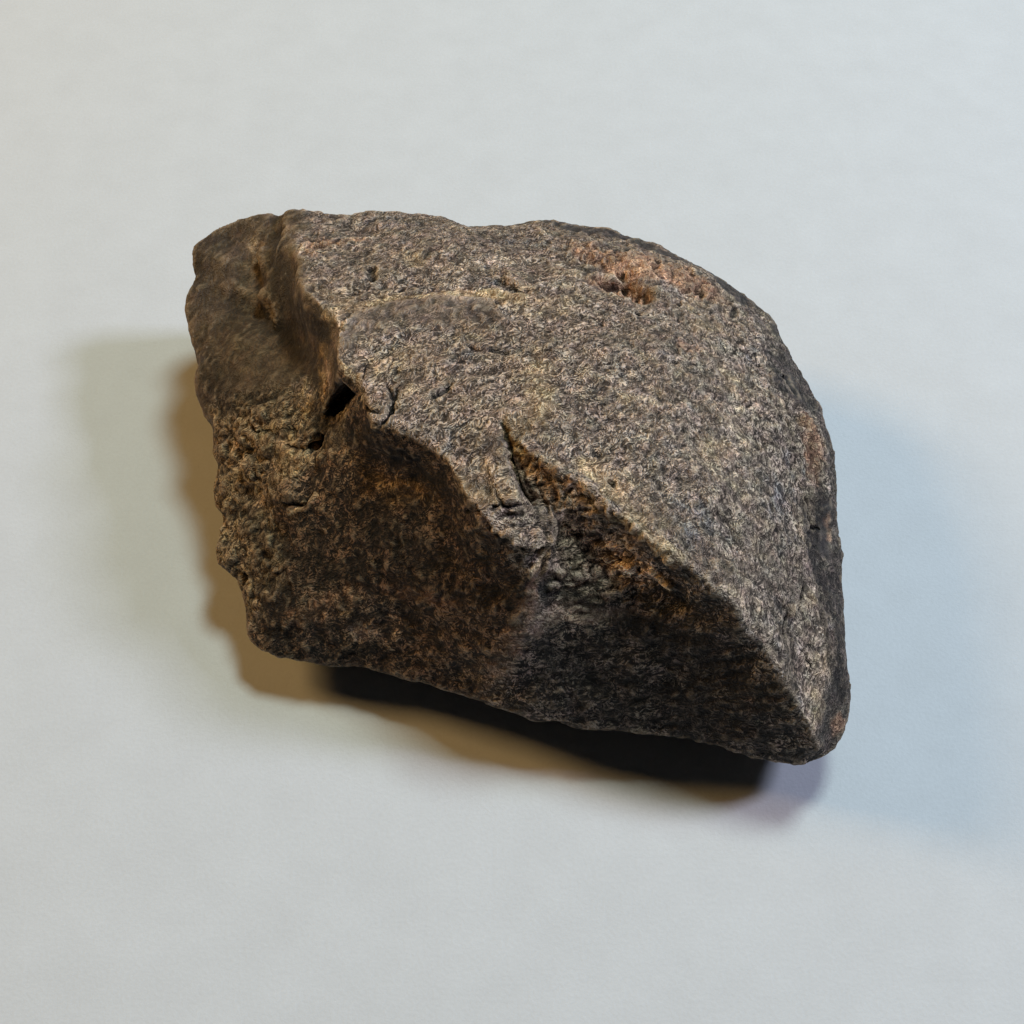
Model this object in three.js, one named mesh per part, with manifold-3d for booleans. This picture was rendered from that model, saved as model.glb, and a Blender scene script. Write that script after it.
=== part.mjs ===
// Glendonite hand specimen: one broken piece of a large calcite pseudomorph, resting on a small flat spot.
// Millimetres, +Z up. The origin is the centre of the stone's box, on the surface that it rests on.
//
// The stone is described by lines on its surface: crests where two faces meet, the feet of its steps, the
// outer edges of its rind, and a few points that hold a face out. Seen from CENTRE every line point lies in
// its own direction, so the convex hull of those directions joins the points into one closed skin. The skin
// is then refined, relaxed between its crests, roughened and knobbed, cut by its crack and its hollows, and
// cut flat where it rests.

import * as THREE from "three";
import { ConvexGeometry } from "three/addons/geometries/ConvexGeometry.js";
import { ConvexHull } from "three/addons/math/ConvexHull.js";
import { ImprovedNoise } from "three/addons/math/ImprovedNoise.js";
import { mergeVertices } from "three/addons/utils/BufferGeometryUtils.js";
import Module from "manifold-3d";

const CENTRE = new THREE.Vector3(2, -4, 15);

const CREST_STEP = 1.5; // spacing of the points that a crest puts on the skin
const LINE_STEP = 3; // spacing on the other lines

const FACET_NEAR = 2.3; // longest edge of the skin at a crest or a knob
const FACET_GROWTH = 0.18; // what each millimetre away from them adds to it
const FACET_FAR = 6;

const CRISP = 0; // how far a line gives way when the skin relaxes: a crest not at all
const SOFT = 0.35;
const FREE = 1;
const RELAX_PASSES = 10;

const ROUGHNESS = [[13, 1.0], [6, 0.7], [2.9, 0.45]]; // width and height of each order of unevenness
const CRISP_SHARE = 0.2; // share of that unevenness on the crests and the outline

const CRACK_WIDTH = 1.1;
const CRACK_DEPTH = 3.2;
const FOOT_BLOCK = 120; // side of the block that planes the foot flat

// ---- lines of the stone -------------------------------------------------------------------------------

// Broken edge of the slab: from the notch at the back, along its left side, to the small facet in front.
const CREST_LEFT = [
  [-31.5, 39, 24.5], [-29.5, 31.5, 27.5], [-28, 25, 30], [-27, 19.5, 31.5], [-26, 15.5, 32.5],
  [-24.5, 13.5, 33], [-22, 10.5, 33.5], [-20, 7.5, 34], [-20.5, 3.5, 34], [-20, 0, 34.2],
  [-18.5, -2, 34.4], [-16.5, -2.5, 34.5], [-16, -5.5, 34.5], [-16, -8.5, 34.5], [-14, -10, 34.5],
  [-10.5, -11.5, 34.5], [-8.5, -13, 34.5], [-6.5, -15, 34.5], [-5, -17.5, 34.2], [-4, -19.5, 33.7],
  [-2.5, -22, 33.2],
];
// The slab's front end, and its right side down the long crack.
const CREST_END = [
  [0, -21.2, 33.6], [3, -21, 33.7], [2.5, -19, 34.2], [1.5, -17, 34.7], [1, -15, 35], [0.5, -11.5, 35.2],
];
// The same broken edge from the head of the crack to the low right-hand tip.
const CREST_RIGHT = [
  [2, -12, 35.2], [3.5, -14.5, 35.2], [5.5, -16, 35], [7.5, -17.5, 34.8], [9.5, -18.5, 34.6],
  [12, -19.5, 34.2], [13, -22.5, 33.6], [15, -23.5, 33.2], [16.5, -25.5, 32.6], [19.5, -27, 31.8],
  [20, -27.5, 31.4], [21.5, -28.5, 30.6], [23, -29.5, 29.8], [25, -30.5, 28.7], [27.5, -31.5, 27.5],
  [27.5, -33, 26], [30, -34, 23.5], [33, -36.5, 20], [35, -38.5, 17.5], [37, -40, 14.5], [38, -41, 11],
];
const CRACK_FOOT = [[1.3, -13, 33.6], [2.2, -15.6, 32], [3.4, -18, 31], [6, -19.6, 30]];
const FACET_BACK = [[-1, -21.8, 32.3], [0.5, -21.4, 32.4], [3, -21, 32.2], [6.5, -21, 31]];
const FACET_FRONT = [[-3, -22.6, 31.8], [0, -24, 30.8], [2.5, -24.6, 30.2], [4.5, -24.5, 29.6]];
const FACET_RIGHT = [[6.2, -22, 30.6], [5.2, -23.6, 29.8]];
const FACET_UNDER = [[-4, -22, 27.2], [-1.2, -24.4, 27], [1.4, -25.6, 26.8]];
const FRONT_EDGE = [
  [4, -25.6, 28], [3.6, -26.9, 26.6], [3.3, -28, 24.6], [2.5, -29.2, 22], [1.5, -30.3, 19.2],
  [0.5, -31.2, 15.6], [0, -32.2, 11.6],
];
const RECESS_FOOT = [
  [7.5, -20.4, 28.6], [9.5, -21.2, 28.2], [12, -22.2, 27.8], [16, -24.6, 27.2], [19.5, -26.8, 27],
];
const LEDGE = [
  [5.6, -25, 26], [9, -25.4, 25.4], [12, -25.8, 25], [15.5, -26.8, 24.8], [18, -27.4, 24.6],
  [21, -28.3, 24.6], [24.5, -31, 24.6],
];
const LEDGE_FOOT = [
  [5.4, -27.6, 23.4], [9, -28.2, 22.6], [13, -29.2, 22], [18, -30.6, 22], [22, -31.8, 22.4],
];
const SCAR_FOOT = [
  [-18.5, -7.5, 28.2], [-16.5, -9, 28.3], [-14.5, -10, 28.5], [-11, -12, 28.5], [-9, -13.6, 28.3],
  [-7.5, -15.6, 28], [-6, -18, 27.5], [-4.5, -20.8, 26.8],
];
const GULLY = [
  [-33.8, 38.5, 23], [-33.4, 35, 22], [-32.6, 31.5, 21.6], [-31.6, 28, 21.2], [-30.6, 24, 20.8],
  [-29.4, 20.5, 20.6], [-28.2, 15, 21.6], [-25.8, 10, 23.2], [-23, 5.5, 25], [-21.5, 2, 25.4],
  [-23.5, -0.5, 24], [-25.5, -2, 22.2],
];
const RISER = [[-28, 18.5, 27.5], [-26.5, 14.5, 28.5], [-24, 10, 29.5], [-21.5, 5.5, 30.5]];

// Where the slab's face turns down to the rind, at the back and the right.
const REAR_BROW = [
  [6.5, 33.5, 26], [13.5, 32, 25.6], [20.5, 30.5, 24.8], [26, 27.5, 24], [31.5, 24, 22.5],
  [36.5, 19.5, 20.8], [38.5, 13.5, 20.2], [39.5, 7.5, 19.8], [39, -1.5, 19.6], [38.5, -9, 19],
  [38.2, -16, 17.8], [38.5, -22.5, 16.2], [39.5, -27.5, 14.8], [40.5, -32, 13], [40.5, -36, 11.5],
];
// The outline of the stone, all the way round: rear and right, left, and the front's lower edge.
const REAR_EDGE = [
  [-30, 39, 25.5], [-26.5, 37.4, 26], [-21.5, 37.2, 26], [-18.5, 38.3, 26], [-16, 37.4, 26],
  [-11, 38, 25.5], [-7.5, 37, 25.5], [-5, 35.5, 25], [-1.5, 35.7, 25], [6, 38, 24], [12.5, 38.2, 23],
  [16.5, 38, 22.5], [22.5, 36, 21.5], [28, 33.2, 20], [34.5, 29, 18.5], [38.5, 24, 17.5],
  [40.2, 18.5, 17], [41.8, 15, 16.5], [43.6, 9.5, 16], [44.4, 5.5, 15.5], [44.6, 0.5, 15],
  [44, -8, 13.5], [44.2, -14, 12.5], [43.5, -25, 10.5], [43.5, -31.5, 9.5], [42.5, -36.5, 8],
  [41, -39, 7.5],
];
const LEFT_EDGE = [
  [-32.2, 40, 23.5], [-34, 41, 23], [-37.5, 41.5, 22], [-42.5, 40.5, 20.5], [-44.5, 38, 19.5],
  [-44.5, 34.5, 19], [-44, 32, 18.5], [-45, 29, 18.5], [-45, 26.5, 18], [-44, 22.5, 17.5],
  [-42.5, 18.5, 17], [-41.6, 16.5, 16.5], [-42.2, 14.5, 16], [-42.2, 12.5, 15.5], [-40.5, 9, 14.5],
  [-39, 7.5, 14], [-38.8, 5.5, 13.5], [-39.3, 3.5, 13], [-38.3, 2.5, 12.5], [-38.5, 1, 12],
  [-38.9, -1, 11.5], [-38.3, -3.5, 11], [-37, -5, 10.5], [-37.6, -8.5, 10], [-37.5, -10, 9.5],
  [-35.5, -12.5, 8.5], [-33.2, -16.5, 7.5], [-33.3, -20, 6.5], [-33, -22, 6],
];
const FRONT_LOW = [
  [-30.5, -24, 6], [-27.5, -25, 6], [-19.5, -26, 6], [-12, -28.7, 6.5], [-7.5, -30, 7],
  [-4.5, -31.2, 7.2], [-0.5, -33.4, 8.4], [3.5, -34.4, 8.2], [11, -36.2, 7.6], [21, -37, 7],
  [26.5, -38.2, 7], [33, -40.2, 6.5], [37, -40.8, 6.5],
];

// The hidden back, and the underside, which tucks in to a small foot.
const BACK_BELLY = [
  [-44, 40, 12], [-32, 42, 13], [-18, 40.5, 14], [-4, 38.5, 13], [10, 39, 12], [22, 36.5, 11],
  [33, 30, 10], [40.5, 20, 9], [44, 6, 8], [44.5, -8, 7.5],
];
const UNDER_RIM = [
  [-42, 37, 5], [-28, 38.5, 4], [-12, 36.5, 3], [6, 35.5, 2.8], [20, 32, 2.6], [31.5, 24, 2.4],
  [39, 10, 2.4], [41, -6, 2.4], [41, -22, 2.8], [39.5, -35, 3.2], [29, -35.4, 2.6], [14, -32.8, 2.6],
  [-2, -29.6, 2.8], [-18, -22.2, 2.2], [-29, -19.4, 2.6], [-35.5, -5, 3.6], [-38.5, 8, 4.6], [-42, 24, 5.6],
];
const FOOT = [
  [-18, 16, -0.8], [-4, 20, -0.8], [12, 17, -0.8], [23, 8, -0.8], [27, -6, -0.8], [21, -18, -0.8],
  [8, -20, -0.8], [-8, -16, -0.8], [-18, -8, -0.8], [-22, 4, -0.8],
];

// Single points that hold the faces out between the lines.
const SLAB = [
  [-22, 26, 29.4], [-11, 26, 29.6], [0, 24, 29.6], [10.5, 22, 29], [20, 18.5, 28], [29, 13, 25.5],
  [-16, 13, 32.4], [-8, 14, 32.2], [2, 11, 33], [12, 6, 33], [24, 1, 30], [33, 0.5, 25.6],
  [-12, 3, 34.3], [-4, 2, 34.2], [6, -3, 34.6], [-9, -5, 34.8], [-2, -12, 35], [9, -10, 34.6],
  [16.5, -13, 33.8], [25, -15.5, 30.5], [32.5, -12.5, 25.8], [23, -24, 31], [31, -25, 25.4],
  [35, -28.5, 20.5], [37.2, -34, 15.5],
];
const LEFT_BLOCK = [
  [-40, 34, 21.6], [-36.6, 33, 22.8], [-37, 27, 22], [-34, 24.5, 21.8], [-40.5, 22, 20.2], [-35, 18, 22.2],
  [-38, 12, 19], [-32, 9, 22.4], [-28, 5, 23.8], [-34.5, 5, 20.4],
];
const KNOBBY_BAND = [
  [-35.5, 2.5, 17], [-29.5, -0.5, 21], [-34, -3, 15.8], [-27, -7, 20], [-22, -9.5, 23.8],
  [-32.5, -10, 13.8], [-25, -14.5, 17.8],
];
const FRONT_LEFT_FACE = [
  [-29.5, -19, 11], [-20, -20.5, 15.5], [-12, -22, 18.5], [-6, -24.4, 20], [-21.5, -23.5, 8.5],
  [-8.5, -27.6, 12],
];
const FRONT_RIGHT_FACE = [
  [8, -30, 19.6], [14, -31.2, 19], [21, -33, 18.4], [28.5, -35.6, 17], [7, -32, 14],
  [17, -34.6, 12.5], [28, -37.6, 11],
];

// Knobs and pits that stand out of the skin: place, radius and height.
const KNOBS = [
  [-32, 3, 21.5, 2.6, 0.9], [-33.5, 1, 19, 2.4, 0.8], [-37.5, 1, 15.5, 2.4, 0.9],
  [-30.5, -1, 20.5, 2.4, 0.8], [-32.5, -3, 17.5, 2.8, 1.1], [-36.5, -4, 13.5, 2.8, 0.9],
  [-26, -4.5, 21.5, 3.2, 1.1], [-27, -8.5, 19, 3.6, 1.2], [-21.5, -7.5, 24.5, 2.4, 0.8],
  [-33, -9, 13.5, 3.2, 0.8], [-36, -11, 9.5, 3, 0.9], [-29.5, -14.5, 13, 3.2, 0.9],
  [-43, 36, 21, 5, 0.7], [-42, 27, 19.8, 5, 0.4], [-40, 14, 18.5, 4, 0.8],
  [12, 30, 27, 4.5, 0.6], [20, 26, 26.5, 3.5, 0.7], [28, 21, 25, 4, 0.6],
];
const PITS = [
  [-36.5, 3.5, 17, 1.8, -0.9], [-31, -5.5, 17, 2, -0.8], [-29, -16.5, 12.5, 2.2, -0.8],
  [15.5, 20, 28.6, 3, -1.3], [19, 17.5, 28.4, 2.4, -0.9], [11.5, 26, 28, 2.2, -0.7],
  [39.5, -12.5, 19, 2.2, -0.9],
];

// The crack between the slab and the wall on its right, along its foot.
const CRACK = [
  [0.2, -9.6, 35.4], [1.1, -12.4, 34.6], [1.9, -15, 32.8], [2.9, -17.4, 31.6], [4.4, -19.6, 30.8],
];
// Hollows: the corners of each mouth, and how far it runs into the stone.
const HOLLOWS = [
  {
    mouth: [[-31.6, 24, 21.6], [-29, 25, 22.8], [-27.6, 21.5, 22.6], [-30.2, 18.6, 20.4]],
    inward: [2.4, 2, -3.5],
  },
  {
    mouth: [[-20, -0.6, 32.6], [-16.8, -2.8, 32.8], [-18.6, -2.6, 29], [-21.5, -2, 25], [-23, -0.5, 25]],
    inward: [2.5, 6, -1.5],
  },
  {
    mouth: [[-21, -2.6, 25.2], [-23.5, -2.8, 24.4], [-25.6, -4.8, 21.8], [-24.2, -5.6, 22.4]],
    inward: [2.5, 3.5, -2],
  },
];
const MOUTH_OUT = 0.35; // how far a mouth is carried outwards, as a share of its run inwards
const HOLLOW_END = 0.4; // size of a hollow's inner end, as a share of its mouth

// ---- skin -----------------------------------------------------------------------------------------------

const vector = (p) => new THREE.Vector3(p[0], p[1], p[2]);

// Points spaced along a line, or along the closed loop that it makes.
function along(line, give, step = LINE_STEP, closed = false) {
  const corners = line.map(vector);
  const points = [];
  corners.forEach((corner, i) => {
    const next = corners[i + 1] ?? (closed ? corners[0] : corner);
    const pieces = Math.max(1, Math.round(corner.distanceTo(next) / step));
    for (let k = 0; k < pieces; k += 1) points.push({ at: corner.clone().lerp(next, k / pieces), give });
  });
  return points;
}

const held = (points, give) => points.map((p) => ({ at: vector(p), give }));

// The closed skin whose corners are these points, joined as the hull of their directions from CENTRE.
function skinOf(points) {
  const directions = points.map(({ at }) => at.clone().sub(CENTRE).normalize());
  const index = new Map(directions.map((d, i) => [d, i]));
  const faces = new ConvexHull().setFromPoints(directions).faces.map((face) => {
    const corners = [];
    let edge = face.edge;
    do {
      corners.push(index.get(edge.head().point));
      edge = edge.next;
    } while (edge !== face.edge);
    return corners;
  });
  return { at: points.map((p) => p.at), give: points.map((p) => p.give), faces };
}

const FINE_PLACES = [...CREST_LEFT, ...CREST_END, ...CREST_RIGHT, ...LEDGE, ...KNOBS, ...PITS].map(vector);

// The longest edge that the skin may have at a place.
function facetAt(place) {
  const away = Math.min(...FINE_PLACES.map((p) => p.distanceTo(place)));
  return Math.min(FACET_FAR, FACET_NEAR + FACET_GROWTH * away);
}

// Halves the edges that are too long, again and again, until none is left.
function refine(skin) {
  for (;;) {
    const middles = new Map();
    const middle = (a, b) => {
      const key = a < b ? `${a},${b}` : `${b},${a}`;
      if (middles.has(key)) return middles.get(key);
      const at = skin.at[a].clone().lerp(skin.at[b], 0.5);
      const whole = skin.at[a].distanceTo(skin.at[b]) <= facetAt(at);
      middles.set(key, whole ? -1 : skin.at.length);
      if (!whole) {
        const crest = Math.abs(a - b) === 1 && skin.give[a] === CRISP && skin.give[b] === CRISP;
        skin.at.push(at);
        skin.give.push(crest ? CRISP : FREE);
      }
      return middles.get(key);
    };
    const before = skin.at.length;
    const faces = [];
    for (const [a, b, c] of skin.faces) {
      const [ab, bc, ca] = [middle(a, b), middle(b, c), middle(c, a)];
      const cut = [ab, bc, ca].filter((m) => m >= 0).length;
      if (cut === 0) faces.push([a, b, c]);
      else if (cut === 3) faces.push([a, ab, ca], [ab, b, bc], [ca, bc, c], [ab, bc, ca]);
      else {
        // turned so that the first edge is cut and, where two are, the third is whole
        const turned = [[a, b, c, ab, bc, ca], [b, c, a, bc, ca, ab], [c, a, b, ca, ab, bc]];
        const [p, q, r, pq, qr] = turned.find((t) => t[3] >= 0 && (cut === 1 || t[5] < 0));
        if (cut === 1) faces.push([p, pq, r], [pq, q, r]);
        else faces.push([pq, q, qr], [p, pq, qr], [p, qr, r]);
      }
    }
    skin.faces = faces;
    if (skin.at.length === before) return skin;
  }
}

// Each point moves towards the mean of its neighbours, as far as it gives.
function relax(skin) {
  const near = skin.at.map(() => new Set());
  for (const [a, b, c] of skin.faces) {
    near[a].add(b).add(c);
    near[b].add(a).add(c);
    near[c].add(a).add(b);
  }
  for (let pass = 0; pass < RELAX_PASSES; pass += 1) {
    skin.at = skin.at.map((p, i) => {
      const mean = new THREE.Vector3();
      near[i].forEach((j) => mean.add(skin.at[j]));
      return p.clone().lerp(mean.divideScalar(near[i].size), 0.5 * skin.give[i]);
    });
  }
  return skin;
}

const noise = new ImprovedNoise();

// How far a place stands out of the smooth skin: unevenness of several widths, knobs and pits.
function relief(place, give) {
  const share = give === CRISP ? CRISP_SHARE : 1;
  let out = 0;
  for (const [width, height] of ROUGHNESS) {
    out += share * height * noise.noise(place.x / width + 0.5, place.y / width, place.z / width);
  }
  for (const [x, y, z, radius, height] of [...KNOBS, ...PITS]) {
    const away = Math.hypot(place.x - x, place.y - y, place.z - z) / radius;
    if (away < 1) out += height * (1 - away * away) ** 2;
  }
  return out;
}

// Moves each point along the skin's own outward direction by the relief there.
function roughen(skin) {
  const outward = skin.at.map(() => new THREE.Vector3());
  for (const [a, b, c] of skin.faces) {
    const ab = skin.at[b].clone().sub(skin.at[a]);
    const turn = ab.cross(skin.at[c].clone().sub(skin.at[a]));
    [a, b, c].forEach((i) => outward[i].add(turn));
  }
  skin.at = skin.at.map((p, i) => p.clone().addScaledVector(outward[i].normalize(), relief(p, skin.give[i])));
  return skin;
}

const wasm = await Module();
wasm.setup();

function solidOf(geometry) {
  geometry.deleteAttribute("normal");
  geometry.deleteAttribute("uv");
  const whole = mergeVertices(geometry);
  const vertProperties = new Float32Array(whole.attributes.position.array);
  const triVerts = new Uint32Array(whole.index.array);
  return new wasm.Manifold(new wasm.Mesh({ numProp: 3, vertProperties, triVerts }));
}

function geometryOf(solid) {
  const mesh = solid.getMesh();
  const geometry = new THREE.BufferGeometry();
  geometry.setAttribute("position", new THREE.BufferAttribute(mesh.vertProperties, 3));
  geometry.setIndex(new THREE.BufferAttribute(mesh.triVerts, 1));
  return geometry;
}

function skinSolid(skin) {
  const geometry = new THREE.BufferGeometry().setFromPoints(skin.at);
  geometry.setIndex(skin.faces.flat());
  return solidOf(geometry);
}

// ---- crack, hollows and foot ----------------------------------------------------------------------------

// A wedge between two places of a crack, open at the top and closed at its depth.
function crackPiece(from, to) {
  const side = new THREE.Vector3(to[1] - from[1], from[0] - to[0], 0).setLength(CRACK_WIDTH / 2);
  const corners = [from, to].flatMap((p) => {
    const top = vector(p).add(new THREE.Vector3(0, 0, CRACK_DEPTH / 3));
    const bottom = vector(p).sub(new THREE.Vector3(0, 0, CRACK_DEPTH));
    return [top.clone().add(side), top.clone().sub(side), bottom];
  });
  return solidOf(new ConvexGeometry(corners));
}

function hollow({ mouth, inward }) {
  const run = vector(inward);
  const corners = mouth.map(vector);
  const middle = corners.reduce((sum, p) => sum.add(p), new THREE.Vector3()).divideScalar(corners.length);
  const outer = corners.map((p) => p.clone().addScaledVector(run, -MOUTH_OUT));
  const inner = corners.map((p) => middle.clone().lerp(p, HOLLOW_END).add(run));
  return solidOf(new ConvexGeometry([...outer, ...inner]));
}

const lines = [
  ...along(CREST_LEFT, CRISP, CREST_STEP),
  ...along(CREST_END, CRISP, CREST_STEP),
  ...along(CREST_RIGHT, CRISP, CREST_STEP),
  ...along(CRACK_FOOT, CRISP, CREST_STEP),
  ...along(FACET_BACK, CRISP, CREST_STEP),
  ...along(FACET_FRONT, CRISP, CREST_STEP),
  ...along(FACET_RIGHT, CRISP, CREST_STEP),
  ...along(FACET_UNDER, SOFT, CREST_STEP),
  ...along(FRONT_EDGE, CRISP, CREST_STEP),
  ...along(RECESS_FOOT, CRISP, CREST_STEP),
  ...along(LEDGE, CRISP, CREST_STEP),
  ...along(LEDGE_FOOT, SOFT),
  ...along(SCAR_FOOT, SOFT, CREST_STEP),
  ...along(GULLY, SOFT),
  ...along(RISER, SOFT),
  ...along(REAR_BROW, SOFT),
  ...along([...REAR_EDGE, ...FRONT_LOW.toReversed(), ...LEFT_EDGE.toReversed()], CRISP, LINE_STEP, true),
  ...along(BACK_BELLY, SOFT),
  ...along(UNDER_RIM, SOFT, LINE_STEP, true),
  ...along(FOOT, CRISP, LINE_STEP, true),
  ...held([...SLAB, ...LEFT_BLOCK, ...KNOBBY_BAND, ...FRONT_LEFT_FACE, ...FRONT_RIGHT_FACE], SOFT),
];

let stoneSolid = skinSolid(roughen(relax(refine(skinOf(lines)))));
CRACK.slice(1).forEach((to, i) => {
  stoneSolid = stoneSolid.subtract(crackPiece(CRACK[i], to));
});
HOLLOWS.forEach((shape) => {
  stoneSolid = stoneSolid.subtract(hollow(shape));
});
const under = new THREE.BoxGeometry(FOOT_BLOCK, FOOT_BLOCK, FOOT_BLOCK).translate(0, 0, -FOOT_BLOCK / 2);
stoneSolid = stoneSolid.subtract(solidOf(under));

const stone = new THREE.Mesh(
  geometryOf(stoneSolid),
  new THREE.MeshStandardMaterial({ color: 0x6b5d50, roughness: 0.9, metalness: 0 }),
);
stone.name = "glendonite";

const specimen = new THREE.Group();
specimen.add(stone);
export default specimen;
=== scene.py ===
"""A glendonite specimen: one broken, sugary brown stone on a pale table."""
import math

import bpy
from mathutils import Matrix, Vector


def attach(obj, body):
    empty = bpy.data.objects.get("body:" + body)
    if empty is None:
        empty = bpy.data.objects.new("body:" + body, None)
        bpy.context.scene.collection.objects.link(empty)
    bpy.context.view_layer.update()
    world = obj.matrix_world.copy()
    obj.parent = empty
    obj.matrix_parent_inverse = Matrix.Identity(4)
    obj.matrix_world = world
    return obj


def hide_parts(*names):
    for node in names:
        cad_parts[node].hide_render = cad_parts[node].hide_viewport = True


bl_info = {
    "name": "Glendonite Specimen",
    "version": (1, 0, 0),
    "blender": (4, 5, 0),
    "location": "View3D > Sidebar > Glendonite",
    "description": "Dresses the packed glendonite solid as a broken, sugary brown stone",
    "category": "Object",
}

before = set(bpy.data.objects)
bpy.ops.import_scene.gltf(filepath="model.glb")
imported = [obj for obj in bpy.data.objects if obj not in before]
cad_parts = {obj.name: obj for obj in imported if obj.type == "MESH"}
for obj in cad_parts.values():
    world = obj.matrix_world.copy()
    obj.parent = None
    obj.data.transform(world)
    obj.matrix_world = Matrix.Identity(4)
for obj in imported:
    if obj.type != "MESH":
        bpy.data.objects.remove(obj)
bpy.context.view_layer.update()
NODE = "glendonite"
MM = 0.001
MERGE_DISTANCE = 0.002 * MM
SHARP_ANGLE = 38  # degrees past which an edge of the solid stays sharp
SNAP = 3.0  # millimetres that a drawn line may lie off the skin
TURN_COST = 2.2  # how strongly looking another way keeps a place out of a face
FACE_CRISPNESS = 7.0  # how sharply one face gives way to the next
TOOTH_DEPTH = 0.1 * MM  # of the paper
FOOT_FLAT = 0.3 * MM  # what lies lower than this is pressed flat

# The camera looks at its target from this slant in degrees and this distance.
CAMERA_TARGET = (0.0015, -0.008, 0.015)
CAMERA_SLANT = 52
CAMERA_DISTANCE = 0.204
CAMERA_NEAR = 0.01

# Where each light stands, its width and its colour.
KEY_LIGHT = ((0.645, 0.11, 0.605), 0.15, (0.74, 0.78, 1.0))
REAR_LIGHT = ((0.21, 0.3, 0.82), 0.2, (0.81, 0.98, 0.92))
LEFT_LIGHT = ((-0.69, 0.27, 0.5), 0.25, (1.0, 0.6, 0.22))
LIGHTS_TARGET = (0, 0, 0.01)
ROOM_COLOUR = (0.5, 0.5, 0.5, 1.0)
ROOM_STRENGTH = 0.017

# Sizes and spacings of the colour patterns, in millimetres.
PATCH_SIZE = 8.0
BLOTCH_SIZE = 2.4
SPECKLE_SIZE = 1.0
PORE_SIZE = 1.1
HUES_SIZE = 2.0
# The painted glints lie about this far apart.
GLINT_SPACING = 0.7
MOTTLE_SIZE = 9.0
TOOTH_SIZE = 0.5
SPECK_SPACING = 22.0

# Lines drawn on the stone, in millimetres. Each point is x, y, z, width, strength.
# A strength above 0 is raised and one below 0 is sunk, by that many millimetres.

# Narrow open cracks, slots and gashes.
CRACKS = {
    "slab crack": [
        (-12.25, -4, 34.25, 0.3, -0.5), (-12.75, -5.5, 34.25, 0.4, -1),
        (-13, -6.75, 34.5, 0.45, -1.3), (-13.25, -8.5, 34.75, 0.5, -1.4),
        (-14.25, -10, 34.5, 0.4, -0.9),
    ],
    "slab crack branch": [(-13.5, -3.25, 34.25, 0.3, -0.4), (-13, -5.5, 34.25, 0.4, -0.8)],
    "slot": [(-16.5, -6.5, 33.5, 0.5, -0.7), (-14.75, -8.25, 34.5, 0.45, -0.6)],
    "gap under the left slab": [(-3.75, -20.5, 31, 0.3, -0.4), (-0.25, -21.5, 33, 0.35, -0.7)],
    "notch between the slabs": [
        (-0.25, -19.5, 33.5, 0.25, -0.4), (0.25, -21.25, 33.25, 0.4, -0.8),
    ],
    "gap under the right slab": [(0.5, -21.25, 33, 0.3, -0.6), (2.75, -21, 33, 0.35, -0.7)],
    "plate joint": [(-16.5, -2, 34.25, 0.4, -0.4), (-16.5, 1, 34, 0.3, -0.15)],
    "rim crack": [
        (34, -28, 20.5, 0.3, -0.5), (33.75, -30, 20.75, 0.35, -0.9),
        (33.25, -32, 20.75, 0.3, -0.5),
    ],
    "rim crack by the tip": [(36, -31, 18, 0.3, -0.7), (37.25, -32.25, 16.5, 0.35, -0.7)],
    "rim slit": [(37, -22.5, 18.25, 0.35, -0.7), (36.5, -24.75, 18.75, 0.4, -0.9)],
    "rim fissure": [
        (38.75, -8.5, 18, 0.6, -0.8), (39.25, -10.25, 17.25, 0.5, -1.2),
        (39.5, -11.75, 16.75, 0.4, -0.9), (40.75, -11.25, 15.75, 0.4, -0.6),
    ],
    "rim notch": [(38.25, 10.75, 20.5, 0.7, -0.7), (39.25, 8.75, 20, 0.8, -0.8)],
    "band arc": [
        (-33, 3, 20.5, 0.3, -0.3), (-32, 1.25, 20.25, 0.35, -0.5), (-30, 0.75, 21, 0.3, -0.4),
    ],
    "band slit": [
        (-27, -2.5, 21.75, 0.35, -0.4), (-25, -4, 23, 0.4, -0.6), (-23, -2.75, 22.5, 0.5, -0.8),
    ],
    "lower slit": [
        (-27.75, -9.5, 18.75, 0.35, -0.5), (-25, -10.5, 19.75, 0.45, -0.8),
        (-23.75, -9.75, 20.5, 0.35, -0.5),
    ],
}

# Low steps: the side on the right hand, along the line, is raised by the strength.
# The width is how far the raised side takes to come down again.
STEPS = {
    "facet edge": [
        (6, -20.75, 30.5, 3, 0.5), (6, -23, 29, 3, 0.8), (3.25, -24.75, 29.5, 3, 0.8),
        (-0.5, -23.5, 31, 3, 0.7), (-2.5, -22, 33, 2, 0.3),
    ],
    "tongue edge": [
        (-20.75, 1, 34, 5, 0.15), (-20, 6.5, 34, 6, 0.45), (-19, 9.5, 33, 8, 0.6),
        (-16, 11.25, 32.5, 9, 0.6), (-13.5, 13, 32, 10, 0.55), (-10.5, 13.25, 32, 10, 0.5),
        (-7, 13.75, 32.5, 10, 0.45), (-3.5, 14, 32, 10, 0.45), (-1.25, 13.5, 32, 9, 0.45),
        (-0.25, 12, 32, 8, 0.35), (0.75, 9, 32.5, 6, 0.15), (0.5, 6, 33, 4, 0.02),
    ],
    "crumbly step": [
        (0.5, 3.5, 33.5, 3, 0.05), (-3.5, 3.25, 33.5, 4, 0.25), (-6.5, 0.25, 34, 4, 0.3),
        (-11, -1, 34.5, 4, 0.25), (-15, -1.5, 34.5, 4, 0.05),
    ],
    "slab ledge": [(-0.5, -20, 33.5, 2, 0.2), (-1, -17.25, 34, 2, 0.3), (-2, -15, 34, 2, 0.1)],
    "lump edge": [
        (4.5, 16.5, 31.25, 4, 0.2), (2.5, 17, 31.5, 4, 0.5), (0.5, 18.5, 31, 4, 0.4),
        (0.5, 21, 30.5, 4, 0.1),
    ],
}

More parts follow.
